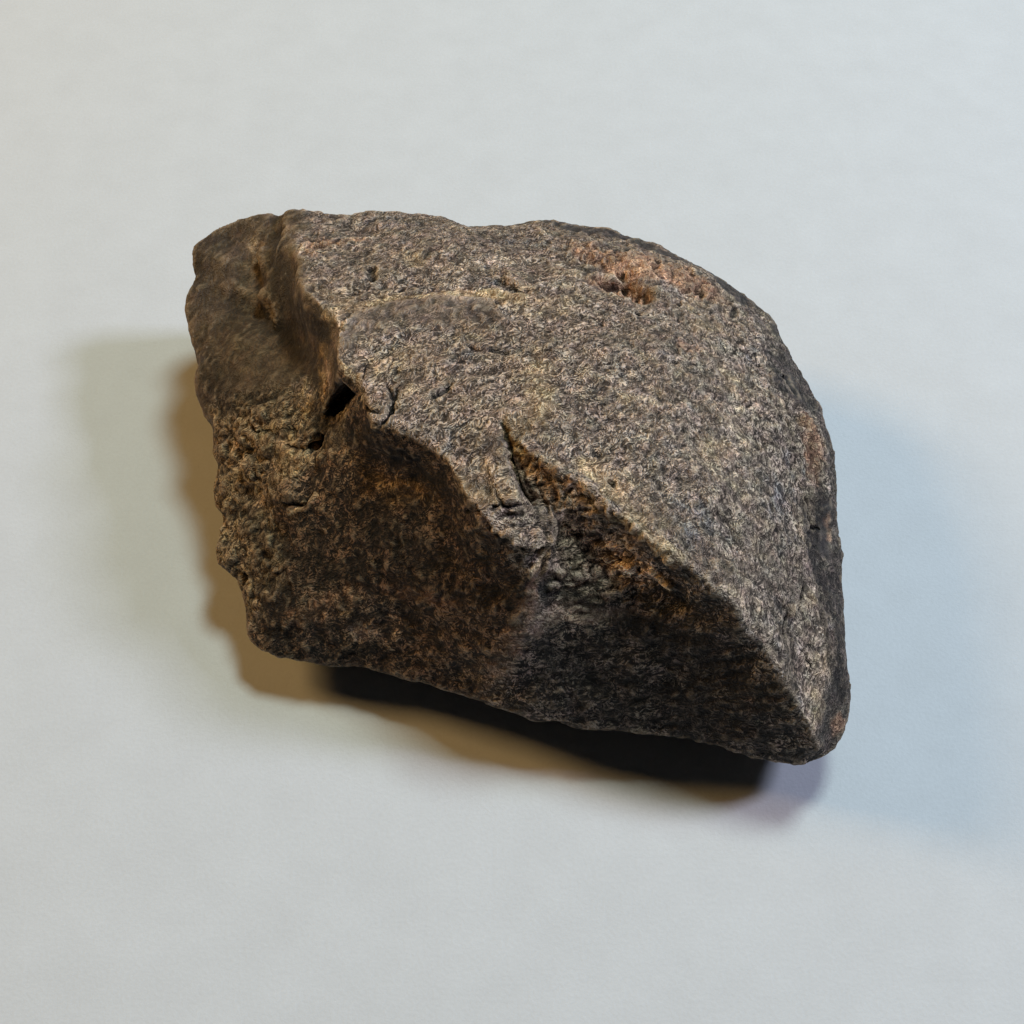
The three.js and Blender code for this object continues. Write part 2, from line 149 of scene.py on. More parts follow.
# Knobs of the band on the left, and other small lumps.
KNOBS = {
    "knob 1": [(-32, 3.25, 21.5, 2, 0.9)],
    "knob 2": [(-34, 2, 19, 1.6, 0.8)],
    "knob 3": [(-37.25, 2.5, 15, 1.9, 0.9)],
    "knob 4": [(-30.75, -0.75, 20.25, 2.2, 1)],
    "knob 5": [(-33, -2.25, 17.5, 2, 0.9)],
    "knob 6": [(-36.75, -2, 13.75, 2, 0.9)],
    "knob 7": [(-28, 0.5, 22, 1.9, 0.7)],
    "knob 8": [(-25.5, -5.75, 22, 2.6, 0.9)],
    "knob 9": [(-27, -8, 20.5, 2.8, 0.9)],
    "knob 10": [(-21, -7.5, 26, 1.8, 0.5)],
    "knob 11": [(-36, -4.75, 12, 1.7, 0.8)],
    "knob 12": [(-35.5, -11.5, 10.5, 2.4, 1)],
    "knob 13": [(-33, -9.5, 13.5, 2.8, 0.9)],
    "knob 14": [(-29.5, -13.5, 14.5, 2.6, 0.8)],
    "knob 15": [(-29, 3.5, 22.5, 2.4, 0.6)],
    "knob 16": [(-30.5, -6, 17, 2.2, 0.8)],
    "gully floor": [(-31.75, 23.5, 22.5, 2.4, 2.6), (-30, 19.5, 22, 2.4, 2.4)],
    "slot crumb": [(-15.25, -10, 33.75, 0.9, 0.9)],
    "crack crumb 1": [(1.75, -12, 34.5, 0.8, 0.7)],
    "crack crumb 2": [(2, -13.75, 34, 0.7, 0.6)],
    "rear lump": [(2, 20, 30.5, 3.4, 0.6)],
    "crescent lip": [
        (-30.75, -15.75, 12.25, 0.5, 0.2), (-29.25, -16.5, 12.75, 0.7, 0.6),
        (-27.75, -15.75, 14, 0.5, 0.2),
    ],
    "slit lip": [
        (-27, -10.75, 18.5, 0.5, 0.2), (-24.5, -11.5, 19.75, 0.6, 0.5),
        (-23, -9.5, 21.25, 0.5, 0.3),
    ],
    "crust ridge": [(12, 27, 27, 3, 0.8), (18, 25.5, 26.5, 3.4, 1.4), (24.5, 24.5, 25.5, 3, 1.1)],
    "shelf crumb 1": [(3.5, -26.25, 27.25, 0.7, 1)],
    "shelf crumb 2": [(5.25, -25, 26.5, 0.8, 1.2)],
    "shelf crumb 3": [(7.25, -25.25, 25.5, 0.9, 1.3)],
    "shelf crumb 4": [(9.25, -25.5, 25.25, 0.8, 1.2)],
    "shelf crumb 5": [(11.5, -25.25, 25.5, 0.9, 1.3)],
    "shelf crumb 6": [(6.25, -26.5, 24.5, 0.9, 1.1)],
    "shelf crumb 7": [(14.25, -24.75, 26.5, 0.8, 1), (15.5, -25.5, 26.25, 0.8, 1.2)],
    "crest crumb 1": [(8, -17.75, 34.25, 0.7, 0.7)],
    "crest crumb 4": [(10.25, -19.25, 33.75, 0.9, 0.9), (11, -19.5, 33.5, 0.6, 0.6)],
    "crest crumb 5": [(12.25, -21, 33.5, 0.7, 0.8)],
    "crest crumb 6": [(16.5, -25, 32, 0.8, 0.9)],
    "crest crumb 2": [(13.5, -22.5, 33.25, 0.8, 0.8)],
    "crest crumb 3": [(15.5, -24, 32.25, 0.8, 0.9)],
    "facet tip": [
        (5.5, -23.5, 29.25, 0.7, 0.8), (4.5, -25.25, 28.25, 0.7, 1.2),
        (3.5, -26.75, 26.75, 0.6, 0.8),
    ],
    "tip": [(17.5, -25.75, 31.75, 1, 1), (19.5, -27, 30.5, 1.1, 2)],
    "lower tip": [(18, -26, 27, 0.8, 0.8), (20, -27.5, 26, 0.7, 1.4)],
}

# Pits and pocks.
PITS = {
    "gully": [
        (-32.25, 39.5, 23.5, 1.8, -0.5), (-32.25, 31.5, 26, 2.4, -0.8), (-32.25, 28, 25, 2, -0.5),
    ],
    "gash 1": [(-3.75, 3.75, 33.5, 0.7, -0.6), (-2.5, 3, 33.75, 0.5, -0.3)],
    "gash 2": [(-1, 3.25, 33.5, 0.7, -0.5), (0.75, 2.75, 33.5, 0.8, -0.7)],
    "gash 3": [(-7.75, -5.25, 34.5, 0.7, -0.8), (-6.25, -4, 34.5, 0.6, -0.7)],
    "rear scar": [(-17.25, 20.5, 31, 1, -0.7), (-16.75, 18, 31.5, 0.8, -0.6)],
    "rear scar tail": [(-15, 16.5, 31.5, 0.8, -0.4), (-12.75, 15.75, 31.75, 0.8, -0.3)],
    "groove below the lump": [
        (-0.25, 18, 31, 1, -0.5), (1.5, 16.5, 31.5, 1.3, -1), (3.5, 16.25, 31.5, 1, -0.6),
    ],
    "crust pit 1": [(13.5, 20, 28, 1.1, -1.1)],
    "crust pit 2": [(16.5, 23, 27.5, 1.3, -1.4)],
    "crust pit 3": [(14, 21, 27.75, 1.6, -1.2), (16.75, 21, 27.5, 2.2, -1.8)],
    "crust pit 4a": [(16.75, 21, 27.5, 2, -1.6), (18.5, 18.5, 28, 2.4, -1.9)],
    "crust pit 4": [(24.25, 27, 25, 0.7, -0.8)],
    "crust pit 5": [(27.25, 22.5, 24.75, 1.2, -1.1)],
    "crust pit 6": [(23.75, 18, 27, 0.8, -0.8)],
    "crust pit 7": [(18.25, 14, 29.25, 0.8, -0.9)],
    "crust pit 8": [(13, 10.5, 31, 0.8, -0.7)],
    "crust pit 9": [(16.5, 6, 31.25, 0.6, -0.7)],
    "crust pit 10": [(20.75, 25.5, 26, 0.9, -0.9)],
    "top pit 1": [(13.25, -17.75, 33.25, 0.75, -1.2)],
    "top pit 2": [(11.5, -14, 33.5, 0.6, -0.4), (11, -13, 33.5, 0.5, -0.3)],
    "top pit 3": [(22.25, 4.25, 30.25, 0.7, -0.5)],
    "crescent pit": [(-29.75, -14, 13.75, 1.5, -0.9)],
    "band pit 1": [(-36.25, 1.75, 16.25, 1.1, -0.7)],
    "band pit 2": [(-33, -0.25, 18, 0.9, -0.6)],
    "band pit 3": [(-34.5, 0.25, 17, 0.9, -0.5)],
    "edge pit": [(-33.5, -15, 10, 1.3, -1)],
}

# Where the colours change. The strength is how strongly: 1 is in full, and in the painted light
# and painted shade, which only brighten and darken, up to 2 goes further.
DUST = {
    "crest": [
        (9.5, -15.5, 33.5, 2.6, 0.7), (12, -18, 33.25, 2.8, 1), (14.5, -21, 32.75, 2.4, 0.9),
        (17, -25, 32, 2, 0.8), (19.5, -27, 31.5, 1.4, 0.8),
    ],
    "top swath": [
        (5.5, 5, 33, 4, 0.5), (5, -1, 34, 4, 0.9), (5, -7, 35, 4, 0.8), (3, -11, 34.5, 2.5, 0.8),
    ],
    "behind the tongue": [
        (-22, 10, 33, 2, 0.9), (-17, 12.75, 32.25, 1.6, 0.8), (-12, 14.25, 32, 1.3, 0.8),
        (-6.5, 15, 32, 1.6, 1), (-1.5, 15.25, 31.5, 2.4, 1), (2.5, 14, 31.5, 2.4, 0.9),
    ],
    "rear left": [(-26, 16, 32.5, 5, 0.5), (-21, 13, 32.5, 3, 0.7)],
    # Painted light: the pale patch on top of the block, where light falls past the low end of the
    # slab.
    "block": [(-35.25, 36.75, 22.25, 3.5, 0.45), (-34.5, 30.5, 24, 2.5, 0.45)],
    "crust": [(13, 14, 30, 5, 0.35), (22, 13, 28.5, 5, 0.3), (8, 22, 29.5, 5, 0.4)],
    "slab end": [(-5, -18, 33.5, 4, 0.4), (0, -20, 33.5, 3, 0.5)],
    "facet tip": [
        (5.25, -23, 29.5, 0.9, 0.8), (4.5, -25.25, 28.25, 0.9, 0.9),
        (3.5, -26.75, 26.75, 0.8, 0.7),
    ],
    "below the crack": [(6, -15, 33.5, 5, 0.45)],
    "slab edge": [
        (-20.5, 1, 34, 0.8, 0.9), (-17, -2.25, 34, 0.8, 0.9), (-16.75, -6, 33, 0.6, 0.8),
    ],
    "lower tip": [(18, -26, 27, 1.2, 0.8), (20, -27.5, 26, 1.2, 0.9)],
    "tip": [(18.5, -26.5, 31, 2, 1), (20, -27, 30, 1.5, 0.9)],
    "top spots": [(14, -6, 33, 4, 0.35), (24, 6, 30, 4, 0.3)],
    "lower rim": [(31, -33, 21, 4, 0.25), (36, -38, 14, 4, 0.3)],
    "band": [
        (-34, 3, 19.5, 4, 0.45), (-30, 1, 20.5, 4, 0.6), (-27, -4, 21.5, 4, 0.65),
        (-30, -6, 18, 3, 0.5),
    ],
    "lower brown face": [(-18, -22, 14, 5, 0.4), (-10, -26, 12, 5, 0.4)],
    "crescent": [(-30.5, -15.75, 12.25, 0.8, 0.9), (-28, -15.75, 13.5, 0.8, 0.9)],
    "lower slit": [(-26.5, -11, 18.75, 0.7, 0.9), (-23.25, -10, 20.75, 0.7, 0.9)],
}
OCHRE = {
    "crack": [(1, -11, 34.5, 1.5, 0.9), (2.5, -14, 34, 1.5, 1), (3, -16, 33, 1.6, 0.6)],
    "slot": [(-15.25, -10, 33.75, 1, 0.8)],
    "brown face top": [(-20, -8, 27, 4, 0.5), (-14, -13, 26, 4, 0.55), (-7, -16, 28, 3, 0.5)],
    "edge foot": [(-8, -28.5, 11, 4, 0.5), (-2.5, -30.5, 11, 3, 0.5)],
    "left ledge": [(-21, 8, 28, 3, 0.8), (-20.75, 3, 26, 3, 0.9), (-22, -1, 25, 2.5, 0.5)],
    "green patch": [(-24.5, 1.5, 24.5, 2.2, 0.9)],
    "block": [(-37, 14, 20, 7, 0.35), (-33, 28, 21.5, 4, 0.4)],
    "facet edge": [(6, -24, 29, 1.2, 0.9), (5, -27, 26, 1.2, 0.7)],
    "band": [(-26, -3, 22, 5, 0.4), (-30, 1, 20, 5, 0.35)],
}
PALE = {
    # On the shelf the pale coat is partly the pale crumbs there and partly painted light, where
    # the recess floor catches light.
    "shelf": [
        (3.5, -26.25, 27.25, 1.4, 0.7), (5.5, -25.5, 26, 1.8, 0.9), (9, -25.75, 25.25, 1.8, 0.9),
        (12, -25.25, 25.5, 1.8, 0.8), (15.5, -25.25, 26.25, 1.8, 0.8),
    ],
    "above the black face": [
        (4.5, -29.5, 20.5, 2.4, 1), (8, -28, 22.25, 2.6, 1), (11.5, -28.75, 21.75, 2.4, 0.8),
        (15.25, -29.25, 22.5, 2, 0.5), (19.5, -29.5, 22.5, 1.6, 0.3),
    ],
    "front edge": [
        (4.25, -28, 23.75, 1.6, 0.7), (2.5, -30.5, 19, 2.2, 0.6), (0, -32, 12.5, 2.6, 0.5),
    ],
    "facet": [(-1, -22, 32, 2.5, 0.6), (3, -22.5, 31, 2.5, 0.6)],
    "lower brown face": [(-18, -24, 12, 4, 0.35), (-8, -27.5, 11, 4, 0.35)],
    "ledge": [(-22.5, 4.5, 28.25, 2.2, 0.6), (-21.25, 0, 29.25, 2.2, 0.5)],
}
# Painted light: these marks brighten places that catch light, such as the recess, ledge walls,
# crests and the feet of the front faces; some also lighten the stone's own tone.
PAINTED_LIGHT = {
    "behind the plate": [
        (-5, 16.25, 31.5, 1.8, 0.5), (-2.75, 15.5, 31.5, 2, 0.7), (0, 15.25, 31.75, 2, 0.7),
        (2.25, 16.75, 30.75, 1.8, 0.5),
    ],
    "ledge wall": [
        (-22.75, 7.5, 29, 1.2, 0.6), (-21.5, 3.25, 30, 1.3, 0.9), (-22, 1.75, 27.5, 1.2, 0.6),
    ],
    "recess floor": [(9, -21.5, 27.75, 1.6, 0.6), (10.75, -25, 25.75, 1.6, 0.8)],
    "recess right": [(18.75, -26.5, 27.5, 1.6, 0.9), (21.5, -28.5, 26.5, 1.4, 0.9)],
    "left side": [(-34.5, 0.75, 17, 2, 0.7), (-32.75, -3.5, 16, 2, 0.7)],
    "under the slab": [
        (-15.25, -13.25, 25.25, 1.6, 0.7), (-10.75, -12.5, 29.75, 1.4, 0.7),
        (-9.5, -13, 29.75, 1.2, 0.5),
    ],
    "crack lip": [(-20.75, 5.25, 32.25, 1.2, 0.7), (-19.25, 2.5, 34, 1.2, 0.5)],
    "shelf front": [(-24.75, 5, 25, 1.6, 0.8), (-25.25, 3.75, 24.75, 1.4, 0.8)],
    "brown face foot": [
        (-25.25, -23.5, 8.5, 1.6, 0.6), (-20.25, -23.75, 10, 1.8, 0.7),
        (-13.75, -25.25, 11, 1.8, 0.7),
    ],
    "middle foot": [(-3.75, -30, 11, 1.8, 1), (-2.25, -30.75, 11.5, 1.4, 0.7)],
    "black face lower": [(19.75, -33.25, 14.75, 1.5, 0.7)],
    "block rear": [
        (-36, 37.5, 22.5, 2.2, 0.9), (-35, 31.5, 21.5, 2.2, 0.8), (-34.5, 25, 21, 3, 0.5),
    ],
    "rear left": [(-29.5, 33, 27, 2.4, 0.8), (-28, 27, 29, 2.6, 0.5), (-27.5, 21, 30.5, 2.4, 0.6)],
    "tongue edge": [
        (-21.5, 6.5, 31, 1.8, 0.8), (-18, 6, 33.5, 3, 0.6), (-12.5, 6.5, 33.5, 2.6, 0.45),
    ],
    "ledge": [(-24.5, 3, 25.5, 2, 0.7), (-20.5, 1.5, 26.5, 1.2, 0.6)],
    "band": [
        (-25, -4.5, 22.5, 2.6, 0.9), (-25.5, -8.5, 20.5, 2.4, 0.9), (-19, -9.5, 25.5, 2, 0.6),
    ],
    "brown face top": [
        (-14.5, -12, 27, 2, 0.7), (-11, -13, 29, 2, 1), (-7.5, -15.5, 29, 1.8, 1),
        (-6, -18, 29, 1.5, 0.7),
    ],
    "brown face middle": [(-10.5, -20, 22.5, 2.2, 0.7), (-8.5, -21, 22.5, 2, 0.7)],
    "brown face low": [
        (-18.5, -22.5, 13.5, 2, 0.5), (-14.5, -23, 14.5, 2, 0.7), (-12.5, -25, 12, 2.2, 0.9),
    ],
    "recess": [
        (7.5, -20, 29, 2, 1.3), (10.5, -22, 27.5, 2.8, 1.7), (13.5, -24, 26.5, 2.6, 1.5),
        (17.5, -26, 27, 2, 1.5), (20, -27.5, 26, 1.8, 1.5),
    ],
    "behind the tongue": [
        (-9, 14.5, 32, 2, 0.4), (-5, 13.5, 32, 2.6, 0.8), (-1.5, 14, 31.5, 2.8, 0.8),
    ],
    "rear middle": [(-4, 22, 30.5, 2.4, 0.4), (0.5, 23.5, 29.5, 2.4, 0.6)],
    "crust": [(15, 22.5, 27, 2, 0.6), (19, 25, 27, 3.6, 0.8), (24.5, 21.5, 26, 2.6, 0.7)],
    "crack wall": [(0.5, -10.5, 33, 1.4, 0.7), (2.5, -14.5, 33, 1.8, 0.9), (4, -16, 32, 1.5, 0.6)],
    "facet tip": [(4, -25, 29, 1.2, 1), (3, -26.5, 27, 1, 0.8)],
    "black face": [
        (9.5, -30, 20, 2.2, 0.8), (5.5, -28, 23, 1.5, 0.7), (15.5, -29.5, 21.5, 1.8, 0.6),
    ],
    "crest": [(9.5, -16.5, 33.5, 2.4, 0.4), (12, -19.5, 33.5, 2, 0.4), (18, -16.5, 32.5, 2, 0.3)],
    "right": [(28, -12.5, 28, 3, 0.5), (31, 12, 24.5, 3, 0.3), (37, 12.5, 20.5, 2, 0.4)],
}
# Painted shade: these marks darken the gully, cavities, the places under the slab edge and the
# tongue, the feet of facets and crests, and the front faces, where shade falls; some on the top
# also darken the stone's own tone.
SHADE = {
    "slab tip": [(1, -14.5, 34, 2.4, 0.35), (3.5, -18, 33, 2, 0.35)],
    "foot of the facet": [(3.5, -26.5, 26.5, 1.8, 0.8), (2.5, -28.5, 22.5, 2.2, 0.8)],
    "gully wall": [(-30, 25, 26.5, 1.8, 0.6), (-27.5, 17, 27, 2, 0.7), (-25.5, 12, 28, 1.8, 0.6)],
    "black face top": [
        (8.25, -27.5, 23.25, 1.8, 1.2), (11.75, -28.75, 22.25, 1.8, 1.2),
        (15.5, -29.5, 22, 1.8, 1.1), (24.75, -32.75, 20.5, 2.2, 1), (28.25, -36, 16.75, 2.4, 1),
    ],
    "band low": [
        (-34.25, -6, 13, 2.2, 0.8), (-30, -12.25, 14.5, 2.4, 1.1), (-26.75, -15, 15, 2.2, 1),
    ],
    "right edge": [
        (40, -18.75, 14.75, 2.2, 0.9), (39.75, -25.5, 16, 2.2, 0.8),
        (40.25, -29.75, 13.5, 2.2, 0.8),
    ],
    "gully floor": [
        (-33.25, 24, 21.5, 2.4, 0.9), (-30, 22.5, 20.5, 2.8, 1.9), (-28.5, 16.25, 22.75, 2.4, 2),
        (-27.25, 12, 24, 2.2, 1.6), (-25.5, 9.5, 26, 1.8, 1),
    ],
    "far left": [(-43, 39, 19, 2.2, 0.9), (-41.25, 37.5, 20.5, 2, 0.8)],
    "above the cavity": [(-25, 9.5, 27, 1.6, 0.7), (-23, 6.25, 28, 1.4, 0.8)],
    "below the cavity": [
        (-20.5, 0, 30.5, 1.3, 1.5), (-21.5, -0.25, 26.25, 1.8, 1.9),
        (-22.5, -2.5, 24.75, 1.8, 1.5), (-21.25, -5.25, 26.5, 1.8, 1.2),
    ],
    "left of the brown face": [(-29.75, -14, 12.5, 2.2, 0.5), (-26.5, -20, 12.5, 2.4, 0.8)],
    "brown face side": [(-23.75, -14, 18, 2, 0.8), (-21.25, -15.75, 18.25, 1.8, 0.6)],
    "brown face right": [
        (-7, -18.5, 27, 1.8, 0.8), (-2.75, -23.25, 27, 1.8, 0.9), (1.25, -26.25, 25.5, 1.6, 0.9),
    ],
    "right of the facet": [(6.5, -20, 30.75, 1.1, 1), (6.75, -23, 28, 1.2, 1.2)],
    "black face crest": [(12.5, -28.75, 22.5, 1.5, 0.8), (14.25, -29.25, 22, 1.3, 0.8)],
    "recess notch": [(15.25, -24.5, 27.5, 1.3, 1), (16.5, -25.5, 27, 1.1, 0.8)],
    "right rim": [
        (40.75, -10, 16, 1.6, 0.9), (39.25, -16.5, 16.25, 2, 0.7), (41.5, -24, 14, 2.2, 0.8),
        (41.25, -32.5, 11.25, 2.2, 0.7),
    ],
    "block side": [(-43, 39, 20, 2.4, 0.9), (-44, 29, 19, 2, 0.7)],
    "block low": [(-40.5, 16.5, 18.5, 2.4, 0.8), (-37.5, 8, 18, 3, 0.9), (-30, 5.5, 22.5, 3, 0.7)],
    "tongue left": [(-18.5, -2, 33.5, 1.6, 0.9)],
    "under the tongue": [
        (-25, 9.5, 27, 2, 0.7), (-23, -1, 25, 2.2, 1), (-20.5, -4.5, 28, 2.2, 1),
        (-17.5, -8, 29, 2.2, 0.9),
    ],
    "band left": [
        (-32.5, -8.5, 14, 2.8, 0.8), (-30, -13, 14, 3.2, 1), (-29.5, -18, 11, 3, 1),
        (-29, -22, 9, 2.6, 0.9),
    ],
    "facet": [(1, -21, 33, 1.4, 0.5), (4, -20.5, 31.5, 1.4, 0.6), (6.25, -22.5, 29, 1.3, 1)],
    "below the facet": [(1.5, -28, 23, 1.8, 0.9), (2.5, -27.5, 24.5, 1.4, 0.8)],
    "right side": [(40.5, 3, 18, 2, 0.3), (41.5, -8, 16, 2.6, 0.8), (36.5, -10.5, 20.5, 2.4, 0.6)],
    "crest foot": [
        (16, -22.5, 32.5, 2.4, 0.4), (20.5, -23, 31, 2.6, 0.5), (27, -28, 28, 2.6, 0.6),
    ],
    "lower right": [(31, -22, 24.5, 3, 0.5), (34, -31, 20, 4, 0.7), (33, -37.5, 17.5, 3, 0.6)],
    "top": [(-6, 3, 34, 4, 0.35), (18, 6.5, 31, 3, 0.4), (24.5, 8, 28.5, 2.4, 0.4)],
    "swath": [
        (8.5, -8.5, 34.5, 2.6, 0.45), (12.5, -8.5, 33.5, 2.6, 0.45), (-6.5, -14.5, 34.5, 2.6, 0.4),
    ],
    "front of the black face": [
        (28, -36.5, 14, 2.6, 0.6), (31, -38.5, 11, 2.4, 0.8), (16.5, -35.5, 10, 3, 0.4),
    ],
    "gully side": [
        (-31.25, 35, 25, 2, 0.6), (-31, 28, 26, 2.4, 0.9), (-29.5, 21, 25.5, 3.2, 1),
        (-27, 15.5, 27, 3.4, 1), (-24.5, 12, 30.5, 2.6, 1), (-22.5, 8.5, 30.5, 2.2, 0.9),
    ],
    "under the slab edge": [
        (-17.5, -9, 31, 2, 0.9), (-13, -13, 30.5, 2.4, 0.9), (-8, -16.5, 30.5, 2.2, 0.8),
        (-5, -20, 29.5, 2, 0.5),
    ],
    "brown face": [
        (-16, -17, 22, 4, 0.6), (-8, -20, 22, 4, 0.7), (-3, -24, 20, 4, 0.6),
        (-24, -17, 15, 3, 0.5),
    ],
    "black face": [(20, -30, 19, 6, 0.5), (30, -36, 12, 5, 0.6), (8, -31, 13, 5, 0.35)],
    "top right": [(33, -9, 25, 4, 0.4), (35, -24, 20, 6, 0.45)],
    "top left": [(-9, -10, 34.5, 5, 0.25), (-2, 9, 33, 4, 0.25), (-20, 24, 30, 5, 0.3)],
}
RIM_COAT = {
    "rear": [
        (4, 38, 24, 1.2, 0.8), (9, 36.5, 24, 1.6, 1), (14, 36, 23.5, 1.4, 0.9),
        (18, 36, 22, 1.8, 1), (22.5, 33.5, 22, 1.8, 1), (26.5, 31, 22, 1.8, 1),
        (31, 28, 21, 1.6, 1),
    ],
    "lens": [(39, 11, 19.5, 1.6, 1), (39.5, 8, 19.5, 1.6, 0.9)],
    "right": [(41.5, -8, 15, 1.6, 0.8), (41, -14, 14, 1.8, 0.7)],
    "left end": [(-5, 37.5, 25.5, 1.4, 0.7), (-1, 37.5, 25, 1.2, 0.6)],
}
RUST = {
    "crust": [
        (8, 30, 26.5, 4, 0.5), (13, 27.5, 27, 6, 0.9), (19, 26, 26.75, 7, 1),
        (24.5, 25, 25.5, 6, 1), (30, 22.5, 23, 4, 0.7),
    ],
    "crust pits": [(13.5, 20.5, 28, 3.4, 0.9), (18.5, 19.5, 28, 3.6, 0.9)],
    "red patch": [(24, 8, 29, 3, 0.55)],
    "right edge": [(35, 13, 22.5, 3, 0.35), (38.5, -4, 19.5, 4, 0.25)],
    "rim patch": [(40.5, 4, 18.25, 3.2, 0.9), (41, 0, 18, 3.8, 1), (40.5, -4, 17.75, 2.8, 0.8)],
    "rim specks": [(42, -9, 15.25, 1.6, 0.8), (42.5, -12, 14.25, 1.4, 0.7)],
    "rim spot": [(34.5, -27, 20.5, 2, 0.8)],
    "tip": [(41, -36.25, 9.25, 2.6, 0.7)],
    "rear left": [(-19.5, 29.5, 27.5, 2.2, 0.6), (-26, 28, 28, 3, 0.6), (-25, 22, 29, 3, 0.35)],
    "brown face": [(-25.5, -22, 11, 3, 0.5), (-19, -20.5, 15.5, 3, 0.5), (-5, -26, 20, 2, 0.6)],
    "front edge": [(4, -27, 26, 1.6, 0.8), (2.5, -29, 21, 2.5, 0.6), (0, -31.5, 14, 3.5, 0.6)],
    "riser": [(-21, 5, 28, 2, 0.6)],
    "back": [(10, 38, 10, 6, 0.5), (-18, 36, 14, 5, 0.5), (36, 24, 9, 6, 0.5)],
}

# The coats, and the painted light and painted shade, that the material reads.
FINISHES_AND_PAINTED_LIGHT = {
    "dust": DUST, "ochre": OCHRE, "rust": RUST, "rim coat": RIM_COAT,
    "pale": PALE, "lift": PAINTED_LIGHT, "shade": SHADE,
}

# Faces of the stone: where each lies, which way it looks, and how far it reaches.
FACES = {
    "sugar": [
        ((12, 4, 31), (0.2, 0.15, 0.97), 26), ((-8, 14, 32), (0.05, 0.15, 0.98), 22),
        ((30, -18, 26), (0.55, 0, 0.83), 18), ((36, -26, 18), (0.7, -0.2, 0.68), 13),
        ((38, -4, 19), (0.6, 0, 0.8), 10), ((-6, -12, 34), (0.05, -0.05, 1), 12),
        ((-20, 26, 29), (0.05, 0.3, 0.95), 12),
    ],
    "block": [
        ((-36, 22, 20), (-0.35, 0, 0.94), 20), ((-42, 18, 14), (-0.95, 0, 0.3), 12),
        ((-26, 14, 27), (-0.8, -0.3, 0.5), 8),
    ],
    "band": [
        ((-33, 0, 18), (-0.55, -0.3, 0.78), 11), ((-33, -11, 13), (-0.5, -0.3, 0.8), 10),
        ((-24, -3, 23), (-0.4, -0.4, 0.82), 7),
    ],
    "brown": [
        ((-14, -22, 16), (-0.45, -0.65, 0.6), 18), ((-22, -14, 19), (-0.5, -0.6, 0.6), 12),
        ((-4, -25, 20), (-0.5, -0.7, 0.5), 12),
    ],
    "black": [((18, -32, 17), (-0.15, -0.9, 0.4), 22), ((32, -37, 13), (-0.25, -0.95, 0.2), 14)],
    "ledges": [((8, -20, 30), (-0.3, -0.7, 0.65), 9), ((13, -25, 26), (-0.3, -0.75, 0.6), 9)],
    "rim": [
        ((42.5, -22, 11), (0.85, -0.1, 0.5), 11), ((42.5, -10, 13), (0.85, 0, 0.5), 10),
        ((43.5, -1, 12), (0.85, 0, 0.5), 8), ((40, 10, 19.5), (0.65, 0.1, 0.75), 5),
        ((43.5, -31, 9), (0.9, -0.2, 0.4), 9),
    ],
    "rind": [
        ((0, 40, 12), (0, 1, 0), 26), ((32, 30, 12), (0.7, 0.7, 0), 20),
        ((-30, 38, 12), (-0.5, 0.85, 0), 18), ((0, 0, 2), (0, 0, -1), 45),
        ((-30, -10, 5), (-0.6, -0.3, -0.75), 25), ((44, -10, 6), (0.95, 0, -0.3), 30),
    ],
}


